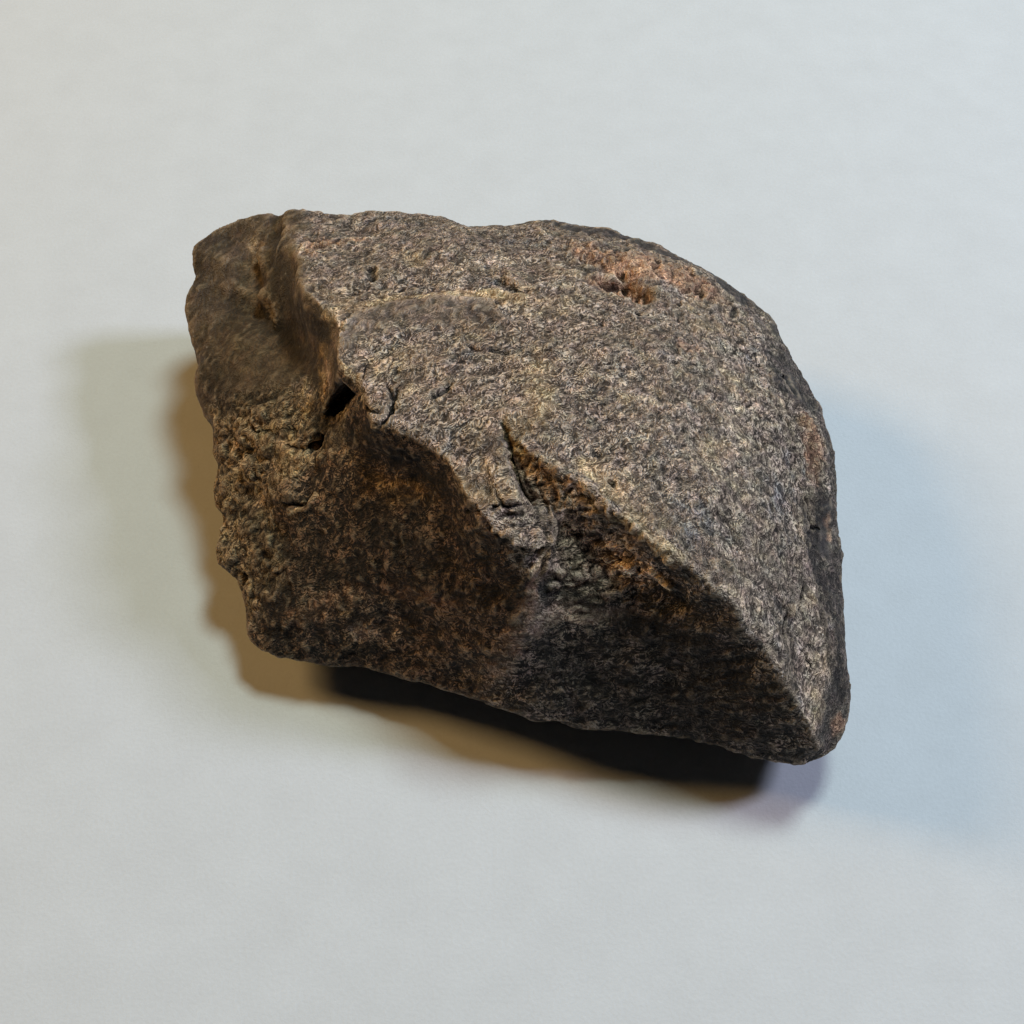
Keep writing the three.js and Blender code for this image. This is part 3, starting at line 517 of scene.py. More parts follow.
class Wire:
    """A socket in a node tree. Arithmetic on it adds the Math or Vector Math nodes it needs."""

    def __init__(self, tree, socket=None):
        self.tree = tree
        self.socket = socket

    def node(self, kind, settings=None, inputs=None, output=0):
        """Adds a node, sets it, feeds its sockets with values or wires, and returns one output."""
        made = self.tree.nodes.new(kind)
        for name, value in (settings or {}).items():
            setattr(made, name, value)
        for name, value in (inputs or {}).items():
            if isinstance(value, Wire):
                self.tree.links.new(value.socket, made.inputs[name])
            else:
                made.inputs[name].default_value = value
        return Wire(self.tree, made.outputs[output]) if made.outputs else None

    def worked(self, operation, *terms):
        """One sum: on vectors if any of its terms is a vector or a colour, and else on numbers."""
        parts = [t.socket.type in {"VECTOR", "RGBA"} if isinstance(t, Wire)
                 else not isinstance(t, (int, float)) for t in terms]
        if not any(parts):
            return self.node("ShaderNodeMath", {"operation": operation}, dict(enumerate(terms)))
        spread = [(t, t, t) if isinstance(t, (int, float)) else t for t in terms]
        return self.node("ShaderNodeVectorMath", {"operation": operation}, dict(enumerate(spread)))

    def __add__(self, other):
        return self.worked("ADD", self, other)

    def __radd__(self, other):
        return self.worked("ADD", other, self)

    def __sub__(self, other):
        return self.worked("SUBTRACT", self, other)

    def __rsub__(self, other):
        return self.worked("SUBTRACT", other, self)

    def __mul__(self, other):
        return self.worked("MULTIPLY", self, other)

    def __rmul__(self, other):
        return self.worked("MULTIPLY", other, self)

    def __truediv__(self, other):
        return self.worked("DIVIDE", self, other)

    def __rtruediv__(self, other):
        return self.worked("DIVIDE", other, self)

    def __pow__(self, other):
        return self.worked("POWER", self, other)

    def __rpow__(self, other):
        return self.worked("POWER", other, self)

    def __neg__(self):
        return self.worked("MULTIPLY", self, -1.0)

    def __abs__(self):
        return self.worked("ABSOLUTE", self)

    def least(self, other):
        """The smaller of two values."""
        return self.worked("MINIMUM", self, other)

    def most(self, other):
        """The larger of two values."""
        return self.worked("MAXIMUM", self, other)

    def vector(self, operation, *others, output=0):
        """A Vector Math node on this vector and others."""
        terms = dict(enumerate((self, *others)))
        return self.node("ShaderNodeVectorMath", {"operation": operation}, terms, output)

    def dot(self, other):
        """The dot product of two vectors, as a number."""
        return self.vector("DOT_PRODUCT", other, output="Value")

    def part(self, axis):
        """One number of a vector: X, Y or Z."""
        return self.node("ShaderNodeSeparateXYZ", {}, {0: self}, axis)

    def rise(self, low, high, bottom=0.0, top=1.0, kind="SMOOTHSTEP"):
        """A smooth step from bottom at low to top at high, level outside them."""
        ends = {"Value": self, 1: low, 2: high, 3: bottom, 4: top}
        return self.node("ShaderNodeMapRange", {"interpolation_type": kind}, ends)

    def slope(self, low, high, bottom=0.0, top=1.0):
        """A straight rise from bottom at low to top at high, level outside them."""
        return self.rise(low, high, bottom, top, "LINEAR")

    def between(self, low, high):
        """This share of the way from one number to another."""
        return self.node("ShaderNodeMix", {"data_type": "FLOAT"}, {0: self, 2: low, 3: high})

    def tinted(self, low, high):
        """This share of the way from one colour to another."""
        return self.node("ShaderNodeMix", {"data_type": "RGBA"}, {0: self, 6: low, 7: high}, 2)

    def stretched(self, scale, turn=(0, 0, 0)):
        """A place turned by degrees about each axis, and then scaled along each axis."""
        angles = tuple(math.radians(angle) for angle in turn)
        turned = {"Vector": self, "Rotation": angles}
        turned = self.node("ShaderNodeVectorRotate", {"rotation_type": "EULER_XYZ"}, turned)
        return turned * scale

    def lumps(self, size, detail=1.0, rough=0.5, swirl=0.0):
        """Soft noise about 0, mostly between -1 and 1, with lumps of that many millimetres."""
        sockets = {"Vector": self, "Scale": 1.0 / size, "Detail": detail, "Roughness": rough,
                   "Distortion": swirl}
        return (self.node("ShaderNodeTexNoise", {}, sockets) - 0.5) * 3.2

    def winding(self, size, detail=1.0, rough=0.5, swirl=0.0, thin=1.0):
        """Noise from 0 to 1 that is 1 along winding lines."""
        return (1.0 - abs(self.lumps(size, detail, rough, swirl)) * thin).most(0.0)

    def billows(self, size, detail=1.0, rough=0.5):
        """Rounded knobs with sharp creases between them, mostly between -0.5 and 1."""
        return abs(self.lumps(size, detail, rough)) * 1.8 - 0.5

    def swirled(self, size, amount):
        """This place pushed aside by soft noise, by about that many millimetres."""
        noise = self.node("ShaderNodeTexNoise", {}, {"Vector": self, "Scale": 1.0 / size}, "Color")
        return self + (noise - (0.5, 0.5, 0.5)) * (amount * 3.0)

    def scattered(self, size, output="Distance"):
        """How far the nearest of many scattered points is, in units of the size."""
        sockets = {"Vector": self, "Scale": 1.0 / size}
        return self.node("ShaderNodeTexVoronoi", {}, sockets, output)


def new_group(name, inputs, outputs):
    """A Geometry Nodes group with the sockets that are named."""
    tree = bpy.data.node_groups.new(name, "GeometryNodeTree")
    for way, sockets in (("INPUT", inputs), ("OUTPUT", outputs)):
        for label, kind in sockets.items():
            tree.interface.new_socket(name=label, in_out=way, socket_type="NodeSocket" + kind)
    return tree


def stretch_group():
    """How near a place on the skin is to one straight stretch of a drawn line."""
    inputs = {"Place": "Vector", "Facing": "Vector", "Start": "Vector", "End": "Vector",
              "Start Width": "Float", "End Width": "Float",
              "Start Strength": "Float", "End Strength": "Float"}
    outputs = ("Mark", "Distance", "Side", "Width", "Strength")
    tree = new_group("stretch of a line", inputs, dict.fromkeys(outputs, "Float"))
    entry = tree.nodes.new("NodeGroupInput")
    given = {name: Wire(tree, entry.outputs[name]) for name in inputs}
    facing = given["Facing"]
    stretch = given["End"] - given["Start"]
    gap = given["Place"] - given["Start"]
    along = gap.dot(stretch) / stretch.dot(stretch).most(0.0001)
    along = along.most(0.0).least(1.0)
    aside = gap - stretch * along
    lift = abs(aside.dot(facing)).least(SNAP)
    distance = (aside.dot(aside) - lift * lift).most(0.0) ** 0.5
    side = stretch.vector("NORMALIZE").vector("CROSS_PRODUCT", aside).dot(facing)
    width = along.between(given["Start Width"], given["End Width"])
    strength = along.between(given["Start Strength"], given["End Strength"])
    mark = (distance / width).rise(0.15, 1.0, 1.0, 0.0) * strength
    found = dict(enumerate((mark, distance, side, width, strength)))
    mark.node("NodeGroupOutput", {}, found)
    return tree


class Ruler:
    """Measures from places on a skin to drawn lines, inside one Geometry Nodes group."""

    def __init__(self, pen, place, facing):
        self.pen = pen
        self.place = place
        self.facing = facing
        self.group = bpy.data.node_groups.get("stretch of a line") or stretch_group()

    def frayed(self):
        """This ruler with its places pushed about, so that what it draws is ragged."""
        return Ruler(self.pen, self.place.swirled(1.6, 0.4).swirled(0.7, 0.25), self.facing)

    def stretches(self, line):
        """What the group finds for each straight stretch of a line, or for its one point."""
        for start, end in list(zip(line, line[1:])) or [(line[0], line[0])]:
            used = self.pen.tree.nodes.new("GeometryNodeGroup")
            used.node_tree = self.group
            self.pen.tree.links.new(self.place.socket, used.inputs["Place"])
            self.pen.tree.links.new(self.facing.socket, used.inputs["Facing"])
            for name, point in (("Start", start), ("End", end)):
                used.inputs[name].default_value = point[:3]
                used.inputs[name + " Width"].default_value = point[3]
                used.inputs[name + " Strength"].default_value = point[4]
            yield {socket.name: Wire(self.pen.tree, socket) for socket in used.outputs}

    def marks(self, lines):
        """The marks of a set of lines: the strongest wherever they cross."""
        total = None
        for line in lines.values():
            for found in self.stretches(line):
                mark = found["Mark"]
                if total is None:
                    total = mark
                elif line[0][4] < 0:
                    total = total.least(mark)
                else:
                    total = total.most(mark)
        return total

    def nearest(self, lines):
        """What the group finds for the stretch that is nearest, of a set of lines."""
        best = None
        for line in lines:
            for found in self.stretches(line):
                if best is None:
                    best = found
                    continue
                closer = self.pen.worked("LESS_THAN", found["Distance"], best["Distance"])
                best = {name: closer.between(best[name], found[name]) for name in found}
        return best

    def step(self, line):
        """A low step: raised on the line's right hand, and coming down again further off."""
        found = self.nearest([line])
        right = found["Side"].slope(-0.0001, 0.0001, 1.0, 0.0)
        high = (found["Distance"] / found["Width"]).rise(0.0, 1.0, 1.0, 0.0)
        return high * right * found["Strength"]

    def shares(self):
        """How much of each face a place belongs to. The shares add up to 1."""
        wavering = self.place.swirled(5.0, 1.8).swirled(1.6, 0.7)
        pulls = {}
        for name, parts in FACES.items():
            best = None
            for centre, looks, reach in parts:
                gap = wavering - centre
                away = gap.dot(gap) ** 0.5 / reach
                turned = 1.0 - self.facing.dot(tuple(Vector(looks).normalized()))
                score = away + turned * TURN_COST
                best = score if best is None else best.least(score)
            pulls[name] = self.pen.worked("EXPONENT", best * -FACE_CRISPNESS)
        total = sum(list(pulls.values())[1:], pulls["sugar"])
        return {name: pull / total for name, pull in pulls.items()}


def skin_group(name, build):
    """A Geometry Nodes group that changes a skin as build says."""
    tree = new_group(name, {"Geometry": "Geometry"}, {"Geometry": "Geometry"})
    pen = Wire(tree)
    skin = build(pen, pen.node("NodeGroupInput"))
    pen.node("NodeGroupOutput", {}, {0: skin})
    return tree


def softened(pen, value, passes, weight=1.0):
    """A vector averaged with its neighbours' again and again."""
    sockets = {0: value, 1: passes, 2: weight}
    return pen.node("GeometryNodeBlurAttribute", {"data_type": "FLOAT_VECTOR"}, sockets)


def even_skin(solid, passes):
    """Rounds the solid's small flats away and keeps its sharp edges."""

    def build(pen, skin):
        source = pen.node("GeometryNodeObjectInfo", {}, {"Object": solid}, "Geometry")
        bend = pen.node("GeometryNodeInputMeshEdgeAngle")
        level = pen.worked("LESS_THAN", bend, math.radians(SHARP_ANGLE))
        edges = pen.node("GeometryNodeDeleteGeometry", {"domain": "EDGE"}, {0: source, 1: level})
        near = pen.node(
            "GeometryNodeProximity", {"target_element": "EDGES"}, {0: edges}, "Distance"
        )
        loose = (near / MM).rise(0.2, 2.2, 0.12, 1.0)
        even = softened(pen, pen.node("GeometryNodeInputPosition"), passes, loose)
        return pen.node("GeometryNodeSetPosition", {}, {"Geometry": skin, "Position": even})

    return skin_group("even skin", build)


def relief(strength):
    """Everything that stands up from or sinks into the skin, from ledges to coarse grain."""

    def build(pen, skin):
        place = pen.node("GeometryNodeInputPosition") / MM
        facing = softened(pen, pen.node("GeometryNodeInputNormal"), 8).vector("NORMALIZE")
        ruler = Ruler(pen, place, facing)
        share = ruler.shares()
        wide = place.lumps(6.0)
        middle = place.lumps(2.6, 2.0)
        small = place.lumps(1.25)
        knobs = place.billows(4.2, 2.0)
        slanted = place.swirled(3.0, 0.8).stretched((1, 0.6, 1), (0, 0, 38))
        crumbs = slanted.billows(1.5, 1.0)
        flakes = slanted.lumps(2.4, 3.0, 0.6, 0.6)
        grain = slanted.lumps(0.7, 1.0, 0.6, 0.4)
        grooved = place.stretched((0.22, 1, 1), (0, 20, 8)) + wide * (0, 0, 0.6)
        leaved = place.swirled(3.0, 0.4).stretched((0.22, 1, 1), (0, 14, 0))
        streaks = place.stretched((1, 0.28, 1), (0, 0, 38))
        fibres = place.stretched((1, 0.3, 0.6), (0, 0, -4))
        ground = {
            "sugar": wide * 0.1 + middle * 0.12 + flakes * 0.22 + crumbs * 0.2 + grain * 0.08,
            "block": streaks.lumps(2.2, 2.0) * 0.16 + wide * 0.2 + crumbs * 0.08 + grain * 0.08,
            "band": knobs * 0.42 + crumbs * 0.34 + flakes * 0.22 + grain * 0.06,
            "brown": wide * 0.25 + knobs * 0.22 + crumbs * 0.16 + flakes * 0.2 + small * 0.05,
            "black": grooved.lumps(0.9) * 0.12 + wide * 0.28 + flakes * 0.22 + crumbs * 0.1,
            "ledges": (leaved.winding(1.1, 2.0) * 0.45 + crumbs * 0.35 + flakes * 0.3
                       + grain * 0.12),
            "rim": (fibres.lumps(1.8, 2.0) * 0.22 + wide * 0.2 + flakes * 0.2 + crumbs * 0.1
                    + grain * 0.08),
            "rind": wide * 0.5 + middle * 0.2 + crumbs * 0.12 + grain * 0.04,
        }
        height = sum((field * share[name] for name, field in ground.items()), 0.0)
        height = height + ruler.marks(RUST) * share["sugar"] * (flakes * 0.7 + crumbs * 0.4)
        drawn = ruler.frayed()
        height = height + drawn.marks(CRACKS) * 0.7 + drawn.marks(KNOBS) * 0.5 + drawn.marks(PITS)
        for line in STEPS.values():
            height = height + drawn.step(line)
        height = height * place.part("Z").rise(0.1, 2.5) * strength
        moves = {"Geometry": skin, "Offset": facing * height * MM}
        skin = pen.node("GeometryNodeSetPosition", {}, moves)
        moved = pen.node("GeometryNodeInputPosition")
        level = moved.part("Z")
        level = level * level.rise(0.0, FOOT_FLAT)
        moved = pen.node(
            "ShaderNodeCombineXYZ", {}, {0: moved.part("X"), 1: moved.part("Y"), 2: level}
        )
        return pen.node("GeometryNodeSetPosition", {}, {"Geometry": skin, "Position": moved})

    return skin_group("stone relief", build)


def finish_and_painted_light_marks():
    """Stores on the skin where each finish, the painted light and the painted shade lie, and the
    hollows that the material darkens as painted shade, for the material to read.
    """

    def build(pen, skin):
        position = pen.node("GeometryNodeInputPosition")
        place = position / MM
        facing = softened(pen, pen.node("GeometryNodeInputNormal"), 10).vector("NORMALIZE")
        shares = Ruler(pen, place, facing).shares()
        drawn = Ruler(pen, place.swirled(2.2, 0.9), facing)
        kept = {name: share for name, share in shares.items() if name != "sugar"}
        kept.update({name: drawn.marks(lines) for name, lines in FINISHES_AND_PAINTED_LIGHT.items()})
        split = Ruler(pen, place, facing).frayed().nearest(CRACKS.values())
        kept["split"] = split["Side"]
        kept["split reach"] = split["Distance"]
        kept["split gape"] = split["Width"] * 0.28
        kept["plate"] = drawn.step(STEPS["tongue edge"]) * 2.2
        # Hollows, near and wide, which the material darkens as painted shade.
        kept["hollow"] = (softened(pen, position, 5) - position).dot(facing) / MM
        kept["deep"] = (softened(pen, position, 60) - position).dot(facing) / MM
        for name, value in kept.items():
            sockets = {"Geometry": skin, "Name": name, "Value": value}
            skin = pen.node("GeometryNodeStoreNamedAttribute", {"data_type": "FLOAT"}, sockets)
        return skin

    return skin_group("stone marks", build)


def srgb(red, green, blue):
    """A colour in the numbers of a colour chart, from 0 to 255, as the linear colour."""
    return tuple(((part / 255 + 0.055) / 1.055) ** 2.4 for part in (red, green, blue))


def blank_material(name):
    """A material with no nodes yet, and the pen that adds them."""
    material = bpy.data.materials.new(name)
    material.use_nodes = True
    material.node_tree.nodes.clear()
    return material, Wire(material.node_tree)


def stone_material(tints):
    """Sugary grey-brown crystal under dust, rust, ochre, brown coats and a dark rind, with painted
    shade, painted light and painted glints.
    """
    material, pen = blank_material("stone")
    place = pen.node("ShaderNodeTexCoord", output="Object") / MM

    def mask(name):
        return pen.node("ShaderNodeAttribute", {"attribute_name": name}, output="Fac")

    def tint(name):
        return (*getattr(tints, name), 1.0)

    def two_tone(name, amount):
        return amount.tinted(tint(name + "_dark"), tint(name + "_light"))

    hollow, deep, plate = mask("hollow"), mask("deep"), mask("plate")
    size = tints.grain_size / MM
    bent = place.swirled(2.5, 0.6)

    def threads(scale, turn, share=1.0):
        lines = bent.stretched(scale, turn).winding(size * share, 1.0, 0.4, 1.2, thin=2.0)
        return lines.rise(0.05, 0.75)

    # Strands of crystals: they slant on the top, stand on the right and lie level in front.
    slanted = threads((1, 0.5, 1), (0, 0, 40))
    upright = threads((1, 0.4, 1), (0, 0, 8))
    level = threads((0.5, 1, 1), (0, 12, 0))
    hairs = threads((1, 0.6, 0.8), (20, 0, 30), 0.75)
    front = (mask("brown") + mask("black") + mask("ledges")).rise(0.3, 0.7)
    worms = front.between(place.part("X").rise(10.0, 36.0).between(slanted, upright), level)
    strands = worms * (hairs * 0.5 + 0.5) + hairs * 0.25
    fine = place.lumps(size * 0.55, 1.0, 0.6)
    patch = place.lumps(PATCH_SIZE, 3.0, 0.6)
    blotch = bent.lumps(BLOTCH_SIZE, 3.0, 0.6)
    speckle = bent.stretched((1, 0.7, 1), (0, 0, 40)).lumps(SPECKLE_SIZE, 3.0, 0.75, 0.5)
    pored = bent.lumps(PORE_SIZE, 2.0, 0.6, 0.5).rise(0.4, 0.9, 1.0, 0.0)

    # Smooth, dark and rearward places show less of the grain.
    smooth = mask("rim coat") + mask("rim") * 0.4 + mask("block") * 0.7 + plate
    quiet = smooth + (mask("brown") + mask("black") + mask("shade")) * 0.45
    contrast = (blotch * 0.5 - patch * 0.5 - quiet + 0.8).slope(0.0, 1.0, 0.5, 1.0)
    contrast = contrast * place.part("Y").rise(10.0, 32.0, 1.0, 0.72)
    tufts = (blotch * 0.35 + speckle * 0.25 + 0.8).slope(0.0, 1.6, 0.0, 1.6)
    grain = (strands * tufts * 0.68 + speckle * 0.14 + fine * 0.14 - 0.22) * contrast
    # Hollows darken the crystals here as painted shade.
    tone = grain + blotch * 0.08 + patch * 0.03 - hollow * 0.8 + pored * 0.1 + 0.3
    crystal = tone.slope(0.0, 1.0)
    crystal = crystal * crystal
    sparse = crystal * crystal * 2.0
    leaves = bent.stretched((0.22, 1, 1), (0, 14, 0)).winding(0.9, 2.0, thin=1.6)
    leaves = crystal * (leaves * 1.6 + 0.3)
    # Hollows darken this too, as painted shade.
    light = blotch * 0.35 + patch * 0.15 + speckle * 0.3 - hollow * 1.6 + 0.1
    light = (light + strands * 0.35 * contrast + fine * 0.15) * (pored * 0.5 + 0.5)
    light = light.slope(0.0, 1.0)
    ragged = patch * 0.22 + blotch * 0.22 + fine * 0.06

    # Colours: drifts within the sugar first, then the other faces, then the coats on them.
    amounts = {"block": light, "rind": light, "brown": sparse, "black": sparse, "ledges": leaves}
    base = two_tone("sugar", crystal)
    warmer = (patch * 0.8 + blotch * 0.5 + speckle * 0.4).rise(0.0, 0.8, 0.0, 0.8)
    base = warmer.tinted(base, two_tone("dust", crystal))
    cooler = (blotch * 0.6 - patch * 0.8 - speckle * 0.3).rise(0.1, 0.8, 0.0, 0.9)
    base = cooler.tinted(base, two_tone("cool", crystal))
    greyer = (plate + ragged * 0.5).rise(0.1, 0.5, 0.0, 0.8)
    base = greyer.tinted(base, two_tone("plate", crystal))
    for name in ("block", "band", "brown", "black", "ledges", "rim", "rind"):
        amount = amounts.get(name, crystal)
        base = (mask(name) + ragged).rise(0.25, 0.75).tinted(base, two_tone(name, amount))
    coats = {"rim coat": 1.0, "pale": 1.0, "dust": 0.9, "ochre": 0.8, "rust": 0.85}
    for name, share in coats.items():
        coat, amount = ("rind", light) if name == "rim coat" else (name, crystal)
        cling = (mask(name) * share + ragged).rise(0.25, 0.8)
        base = cling.tinted(base, two_tone(coat, amount))
    sockets = {"Vector": place, "Scale": 1.0 / HUES_SIZE, "Detail": 1.0}
    hues = pen.node("ShaderNodeTexNoise", {}, sockets, "Color")
    base = base * ((hues - (0.5, 0.5, 0.5)) * 0.2 + (1.0, 1.0, 1.0))
    # Painted shade: darkens the colour where the shade marks lie, and more where they pass 1.
    shade = mask("shade")
    base = base * (shade + ragged * 0.8).rise(0.1, 0.9, 1.0, 0.45) * shade.rise(1.0, 2.0, 1.0, 0.4)
    # Painted light: brightens the colour where the lift marks lie.
    base = base * (mask("lift") * (blotch * 0.3 + speckle * 0.3 + 0.9) + 1.0)

    # Edges are worn pale, near and wide hollows get painted shade, and the drawn cracks are
    # darkest.
    worn = (-hollow).rise(0.03, 0.16, 0.0, 0.35)
    base = worn.tinted(base, tint("worn"))
    base = base * (hollow.rise(0.02, 0.16, 1.0, 0.5) * deep.rise(0.2, 1.6, 1.0, 0.6))
    split = (abs(mask("split")) / mask("split gape")).rise(0.4, 1.1, 1.0, 0.0)
    split = split * mask("split reach").rise(0.25, 0.6, 1.0, 0.0)
    base = base * (1.0 - split * 0.85)

    # A few crystal faces get a painted glint, near-white with less roughness, most of them where
    # no coat lies.
    dull = mask("brown") + mask("black") + mask("block") + mask("rind") + mask("band")
    lot = place.scattered(GLINT_SPACING, output="Color").part("X").rise(0.975, 0.98)
    near = place.scattered(GLINT_SPACING).rise(0.12, 0.3, 1.0, 0.0)
    glint = lot * near * (blotch + patch).rise(-0.3, 0.9)
    glint = glint * dull.slope(0.3, 0.8, 1.0, 0.15)
    base = glint.tinted(base, tint("glint"))

    rough = (0.85 - smooth.slope(0.2, 1.0, 0.0, 0.22) + fine * 0.06 - glint * 0.45).most(0.25)
    height = worms * 0.45 + hairs * 0.3 + speckle * 0.5 + pored * 0.4
    height = height * smooth.slope(0.2, 0.9, 1.0, 0.4)
    height = height + blotch * 0.15 - split * 1.5
    bumps = {"Strength": 1.0, "Distance": tints.bump_depth, "Height": height}
    normal = pen.node("ShaderNodeBump", {}, bumps)
    shader = pen.node(
        "ShaderNodeBsdfPrincipled",
        {},
        {"Base Color": base, "Roughness": rough, "Normal": normal, "Specular IOR Level": 0.35},
    )
    pen.node("ShaderNodeOutputMaterial", {}, {"Surface": shader})
    return material


def paper_material(settings):
    """Matt off-white paper with a faint mottle."""
    material, pen = blank_material("table paper")
    place = pen.node("ShaderNodeTexCoord", output="Object") / MM
    mottle = place.lumps(MOTTLE_SIZE, 5.0, 0.7)
    tooth = place.lumps(TOOTH_SIZE, 2.0, 0.6)
    share = (mottle * 0.35 + tooth * 0.25 + 0.5).slope(0.0, 1.0)
    tint = share.tinted((*settings.table_dark, 1.0), (*settings.table_light, 1.0))
    specks = place.scattered(SPECK_SPACING)
    lot = place.scattered(SPECK_SPACING, output="Color").part("X").rise(0.72, 0.74)
    tint = tint * (1.0 - lot * specks.rise(0.012, 0.03, 1.0, 0.0) * 0.8)
    height = mottle * 0.6 + tooth * 0.4
    bumps = {"Strength": 0.3, "Distance": TOOTH_DEPTH, "Height": height}
    normal = pen.node("ShaderNodeBump", {}, bumps)
    sockets = {"Base Color": tint, "Normal": normal, "Roughness": 0.9, "Specular IOR Level": 0.1}
    shader = pen.node("ShaderNodeBsdfPrincipled", {}, sockets)
    pen.node("ShaderNodeOutputMaterial", {}, {"Surface": shader})
    return material


def swatch(label, description, *value):
    """A colour property from a chart colour."""
    return bpy.props.FloatVectorProperty(
        name=label, description=description, subtype="COLOR", size=3, min=0.0, max=1.0,
        default=srgb(*value),
    )


class StoneSettings(bpy.types.PropertyGroup):
    """Sizes and colours of the stone."""

    detail: bpy.props.FloatProperty(
        name="Skin detail", description="Spacing of the points of the stone's skin",
        default=0.28 * MM, min=0.15 * MM, max=2 * MM, subtype="DISTANCE", unit="LENGTH",
        precision=5,
    )
    faces: bpy.props.IntProperty(
        name="Triangles", description="Triangles that the finished stone may have",
        default=196000, min=20000, max=199000,
    )
    relief: bpy.props.FloatProperty(
        name="Relief", description="Strength of the ledges, knobs, pits, cracks and grain",
        default=1.0, min=0.0, max=2.0,
    )
    evening: bpy.props.IntProperty(
        name="Evening", description="Passes that round the flats of the packed solid",
        default=45, min=0, max=200,
    )
    grain_size: bpy.props.FloatProperty(
        name="Grain", description="Spacing of the sugary crystals",
        default=0.62 * MM, min=0.2 * MM, max=5 * MM, subtype="DISTANCE", unit="LENGTH",
        precision=5,
    )
    bump_depth: bpy.props.FloatProperty(
        name="Grain depth", description="Height of the finest grain",
        default=0.3 * MM, min=0.0, max=1 * MM, subtype="DISTANCE", unit="LENGTH", precision=5,
    )
    sugar_light: swatch("Sugar light", "Crystals of the broad top face", 234, 208, 186)
    sugar_dark: swatch("Sugar dark", "Gaps between the crystals", 44, 34, 27)
    cool_light: swatch("Cool light", "Bluish grey crystals", 176, 166, 160)
    cool_dark: swatch("Cool dark", "Bluish gaps", 36, 33, 34)
    dust_light: swatch("Dust light", "Tan dust on crests and in folds", 242, 212, 174)
    dust_dark: swatch("Dust dark", "Tan dust in shade", 96, 77, 54)
    ochre_light: swatch("Ochre light", "Yellow-brown earth", 196, 163, 114)
    ochre_dark: swatch("Ochre dark", "Yellow-brown earth in shade", 66, 50, 33)
    rust_light: swatch("Rust light", "Pinkish orange rust", 240, 192, 156)
    rust_dark: swatch("Rust dark", "Red-brown rust", 108, 78, 60)
    plate_light: swatch("Plate light", "Smooth grey plate", 190, 166, 147)
    plate_dark: swatch("Plate dark", "Grain of the grey plate", 56, 46, 39)
    block_light: swatch("Block light", "Smooth brown block on the left", 126, 107, 86)
    block_dark: swatch("Block dark", "Streaks of the block", 62, 51, 40)
    band_light: swatch("Band light", "Knobs of the band", 202, 174, 138)
    band_dark: swatch("Band dark", "Hollows of the band", 44, 36, 29)
    brown_light: swatch("Brown light", "Brown front face", 152, 124, 101)
    brown_dark: swatch("Brown dark", "Dark patches of the front face", 29, 24, 21)
    black_light: swatch("Black light", "Blackish front face", 168, 151, 138)
    black_dark: swatch("Black dark", "Blackest places of the front face", 25, 22, 21)
    ledges_light: swatch("Ledges light", "Broken ledges below the crest", 222, 192, 170)
    ledges_dark: swatch("Ledges dark", "Splits between the ledges", 40, 31, 25)
    pale_light: swatch("Pale light", "Pale brown-grey crumbs", 240, 212, 190)
    pale_dark: swatch("Pale dark", "Gaps between the pale crumbs", 84, 67, 57)
    rim_light: swatch("Rim light", "Brown-grey rim on the right", 139, 124, 113)
    rim_dark: swatch("Rim dark", "Dark streaks of the rim", 34, 29, 27)
    rind_light: swatch("Rind light", "Dark rind on the rim, back and underside", 114, 103, 95)
    rind_dark: swatch("Rind dark", "Hollows of the rind", 56, 50, 47)
    worn: swatch("Worn", "Sharp edges rubbed pale", 176, 156, 131)
    # Painted glint: the near-white colour put on the glinting crystal faces.
    glint: swatch("Glint", "Crystal faces that catch the light", 238, 232, 222)


class StageSettings(bpy.types.PropertyGroup):
    """Table, lights and camera."""

    table_size: bpy.props.FloatProperty(
        name="Table size", description="Width and depth of the table top",
        default=3.0, min=0.5, max=10.0, subtype="DISTANCE", unit="LENGTH",
    )
    table_light: swatch("Table light", "Paper of the table", 210, 215, 220)
    table_dark: swatch("Table dark", "Mottle of the paper", 198, 202, 206)
    key_power: bpy.props.FloatProperty(
        name="Key power", description="Power of the soft bluish light on the right",
        default=4.5, min=0.0, subtype="POWER", unit="POWER",
    )
    rear_power: bpy.props.FloatProperty(
        name="Rear power", description="Power of the high soft light behind the stone",
        default=4.4, min=0.0, subtype="POWER", unit="POWER",
    )
    left_power: bpy.props.FloatProperty(
        name="Left power", description="Power of the low warm light on the left",
        default=3.8, min=0.0, subtype="POWER", unit="POWER",
    )
    lens_angle: bpy.props.FloatProperty(
        name="Lens angle", description="Field of view of the camera",
        default=math.radians(36), min=0.1, max=2.0, subtype="ANGLE", unit="ROTATION",
    )


def only(piece):
    """Selects one object alone and makes it the active one."""
    bpy.ops.object.select_all(action="DESELECT")
    piece.select_set(True)
    bpy.context.view_layer.objects.active = piece


def solid_copy(name):
    """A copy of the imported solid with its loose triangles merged. The solid is left alone."""
    copy = bpy.data.objects.new(name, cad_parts[NODE].data.copy())
    copy.data.name = name
    copy.data.materials.clear()
    bpy.context.scene.collection.objects.link(copy)
    only(copy)
    bpy.ops.object.mode_set(mode="EDIT")
    bpy.ops.mesh.select_all(action="SELECT")
    bpy.ops.mesh.remove_doubles(threshold=MERGE_DISTANCE)
    bpy.ops.object.mode_set(mode="OBJECT")
    return copy


def finished(piece, kind, **settings):
    """Adds one modifier, sets it and applies it."""
    only(piece)
    modifier = piece.modifiers.new(kind.title(), kind)
    for name, value in settings.items():
        setattr(modifier, name, value)
    if "FINISHED" not in bpy.ops.object.modifier_apply(modifier=modifier.name):
        raise RuntimeError(f"the {kind} modifier couldn't be applied to {piece.name}")


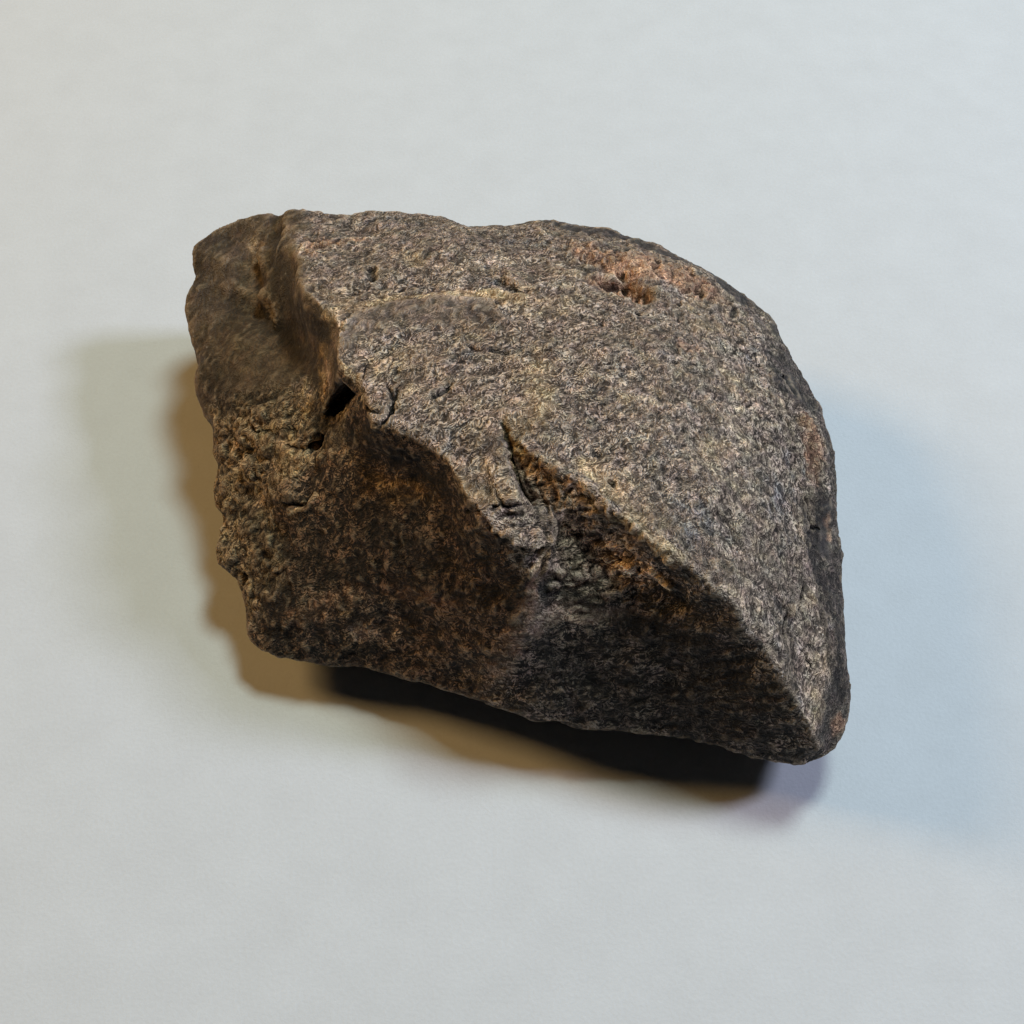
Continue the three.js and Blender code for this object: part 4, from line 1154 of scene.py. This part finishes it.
class GLENDONITE_OT_stone(bpy.types.Operator):
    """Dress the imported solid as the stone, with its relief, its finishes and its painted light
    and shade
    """

    bl_idname = "glendonite.stone"
    bl_label = "Make the Stone"

    def execute(self, context):
        settings = context.scene.glendonite_stone
        solid = solid_copy("solid")
        stone = solid_copy("stone")
        detail = settings.detail
        finished(stone, "REMESH", mode="VOXEL", voxel_size=detail)
        finished(stone, "NODES", node_group=even_skin(solid, settings.evening))
        finished(stone, "NODES", node_group=relief(settings.relief))
        triangles = sum(len(face.vertices) - 2 for face in stone.data.polygons)
        finished(stone, "DECIMATE", ratio=min(1.0, settings.faces / triangles))
        finished(stone, "NODES", node_group=finish_and_painted_light_marks())
        bpy.data.objects.remove(solid)
        only(stone)
        bpy.ops.object.shade_smooth()
        stone.data.materials.clear()
        stone.data.materials.append(stone_material(settings))
        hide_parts(NODE)
        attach(stone, "root")
        return {"FINISHED"}


def aimed(thing, place, target):
    """Puts an object at a place and turns it to look at a target."""
    thing.location = place
    thing.rotation_euler = (Vector(target) - Vector(place)).to_track_quat("-Z", "Y").to_euler()


class GLENDONITE_OT_stage(bpy.types.Operator):
    """Lay the pale table and set the lights and the camera"""

    bl_idname = "glendonite.stage"
    bl_label = "Set the Stage"

    def execute(self, context):
        settings = context.scene.glendonite_stage
        bpy.ops.mesh.primitive_plane_add(size=settings.table_size, location=(0, 0, 0))
        table = context.active_object
        table.name = "table"
        table.data.materials.append(paper_material(settings))
        lights = {
            "key light": (settings.key_power, KEY_LIGHT),
            "rear light": (settings.rear_power, REAR_LIGHT),
            "left light": (settings.left_power, LEFT_LIGHT),
        }
        for name, (power, (place, size, colour)) in lights.items():
            bpy.ops.object.light_add(type="AREA")
            lamp = context.active_object
            lamp.name = name
            lamp.data.size = size
            lamp.data.energy = power
            lamp.data.color = colour
            aimed(lamp, place, LIGHTS_TARGET)
        world = bpy.data.worlds.new("room")
        world.use_nodes = True
        glow = world.node_tree.nodes["Background"].inputs
        glow["Color"].default_value = ROOM_COLOUR
        glow["Strength"].default_value = ROOM_STRENGTH
        context.scene.world = world
        bpy.ops.object.camera_add()
        camera = context.active_object
        camera.name = "camera"
        camera.data.angle = settings.lens_angle
        camera.data.clip_start = CAMERA_NEAR
        slant = math.radians(CAMERA_SLANT)
        back = Vector((0, -math.cos(slant), math.sin(slant))) * CAMERA_DISTANCE
        aimed(camera, Vector(CAMERA_TARGET) + back, CAMERA_TARGET)
        context.scene.camera = camera
        context.scene.view_settings.view_transform = "Standard"
        return {"FINISHED"}


class GLENDONITE_PT_panel(bpy.types.Panel):
    """Sizes and colours of the stone and its stage, with the buttons that make them"""

    bl_idname = "GLENDONITE_PT_panel"
    bl_label = "Glendonite"
    bl_space_type = "VIEW_3D"
    bl_region_type = "UI"
    bl_category = "Glendonite"

    def draw(self, context):
        for settings, button in (
            (context.scene.glendonite_stone, "glendonite.stone"),
            (context.scene.glendonite_stage, "glendonite.stage"),
        ):
            box = self.layout.box()
            for name in settings.__annotations__:
                box.prop(settings, name)
            box.operator(button)


CLASSES = (
    StoneSettings,
    StageSettings,
    GLENDONITE_OT_stone,
    GLENDONITE_OT_stage,
    GLENDONITE_PT_panel,
)


def register():
    for kind in CLASSES:
        bpy.utils.register_class(kind)
    bpy.types.Scene.glendonite_stone = bpy.props.PointerProperty(type=StoneSettings)
    bpy.types.Scene.glendonite_stage = bpy.props.PointerProperty(type=StageSettings)


def unregister():
    del bpy.types.Scene.glendonite_stage
    del bpy.types.Scene.glendonite_stone
    for kind in reversed(CLASSES):
        bpy.utils.unregister_class(kind)


def main():
    """Makes the stone and its stage."""
    register()
    bpy.ops.glendonite.stage()
    bpy.ops.glendonite.stone()


if __name__ == "__main__":
    main()
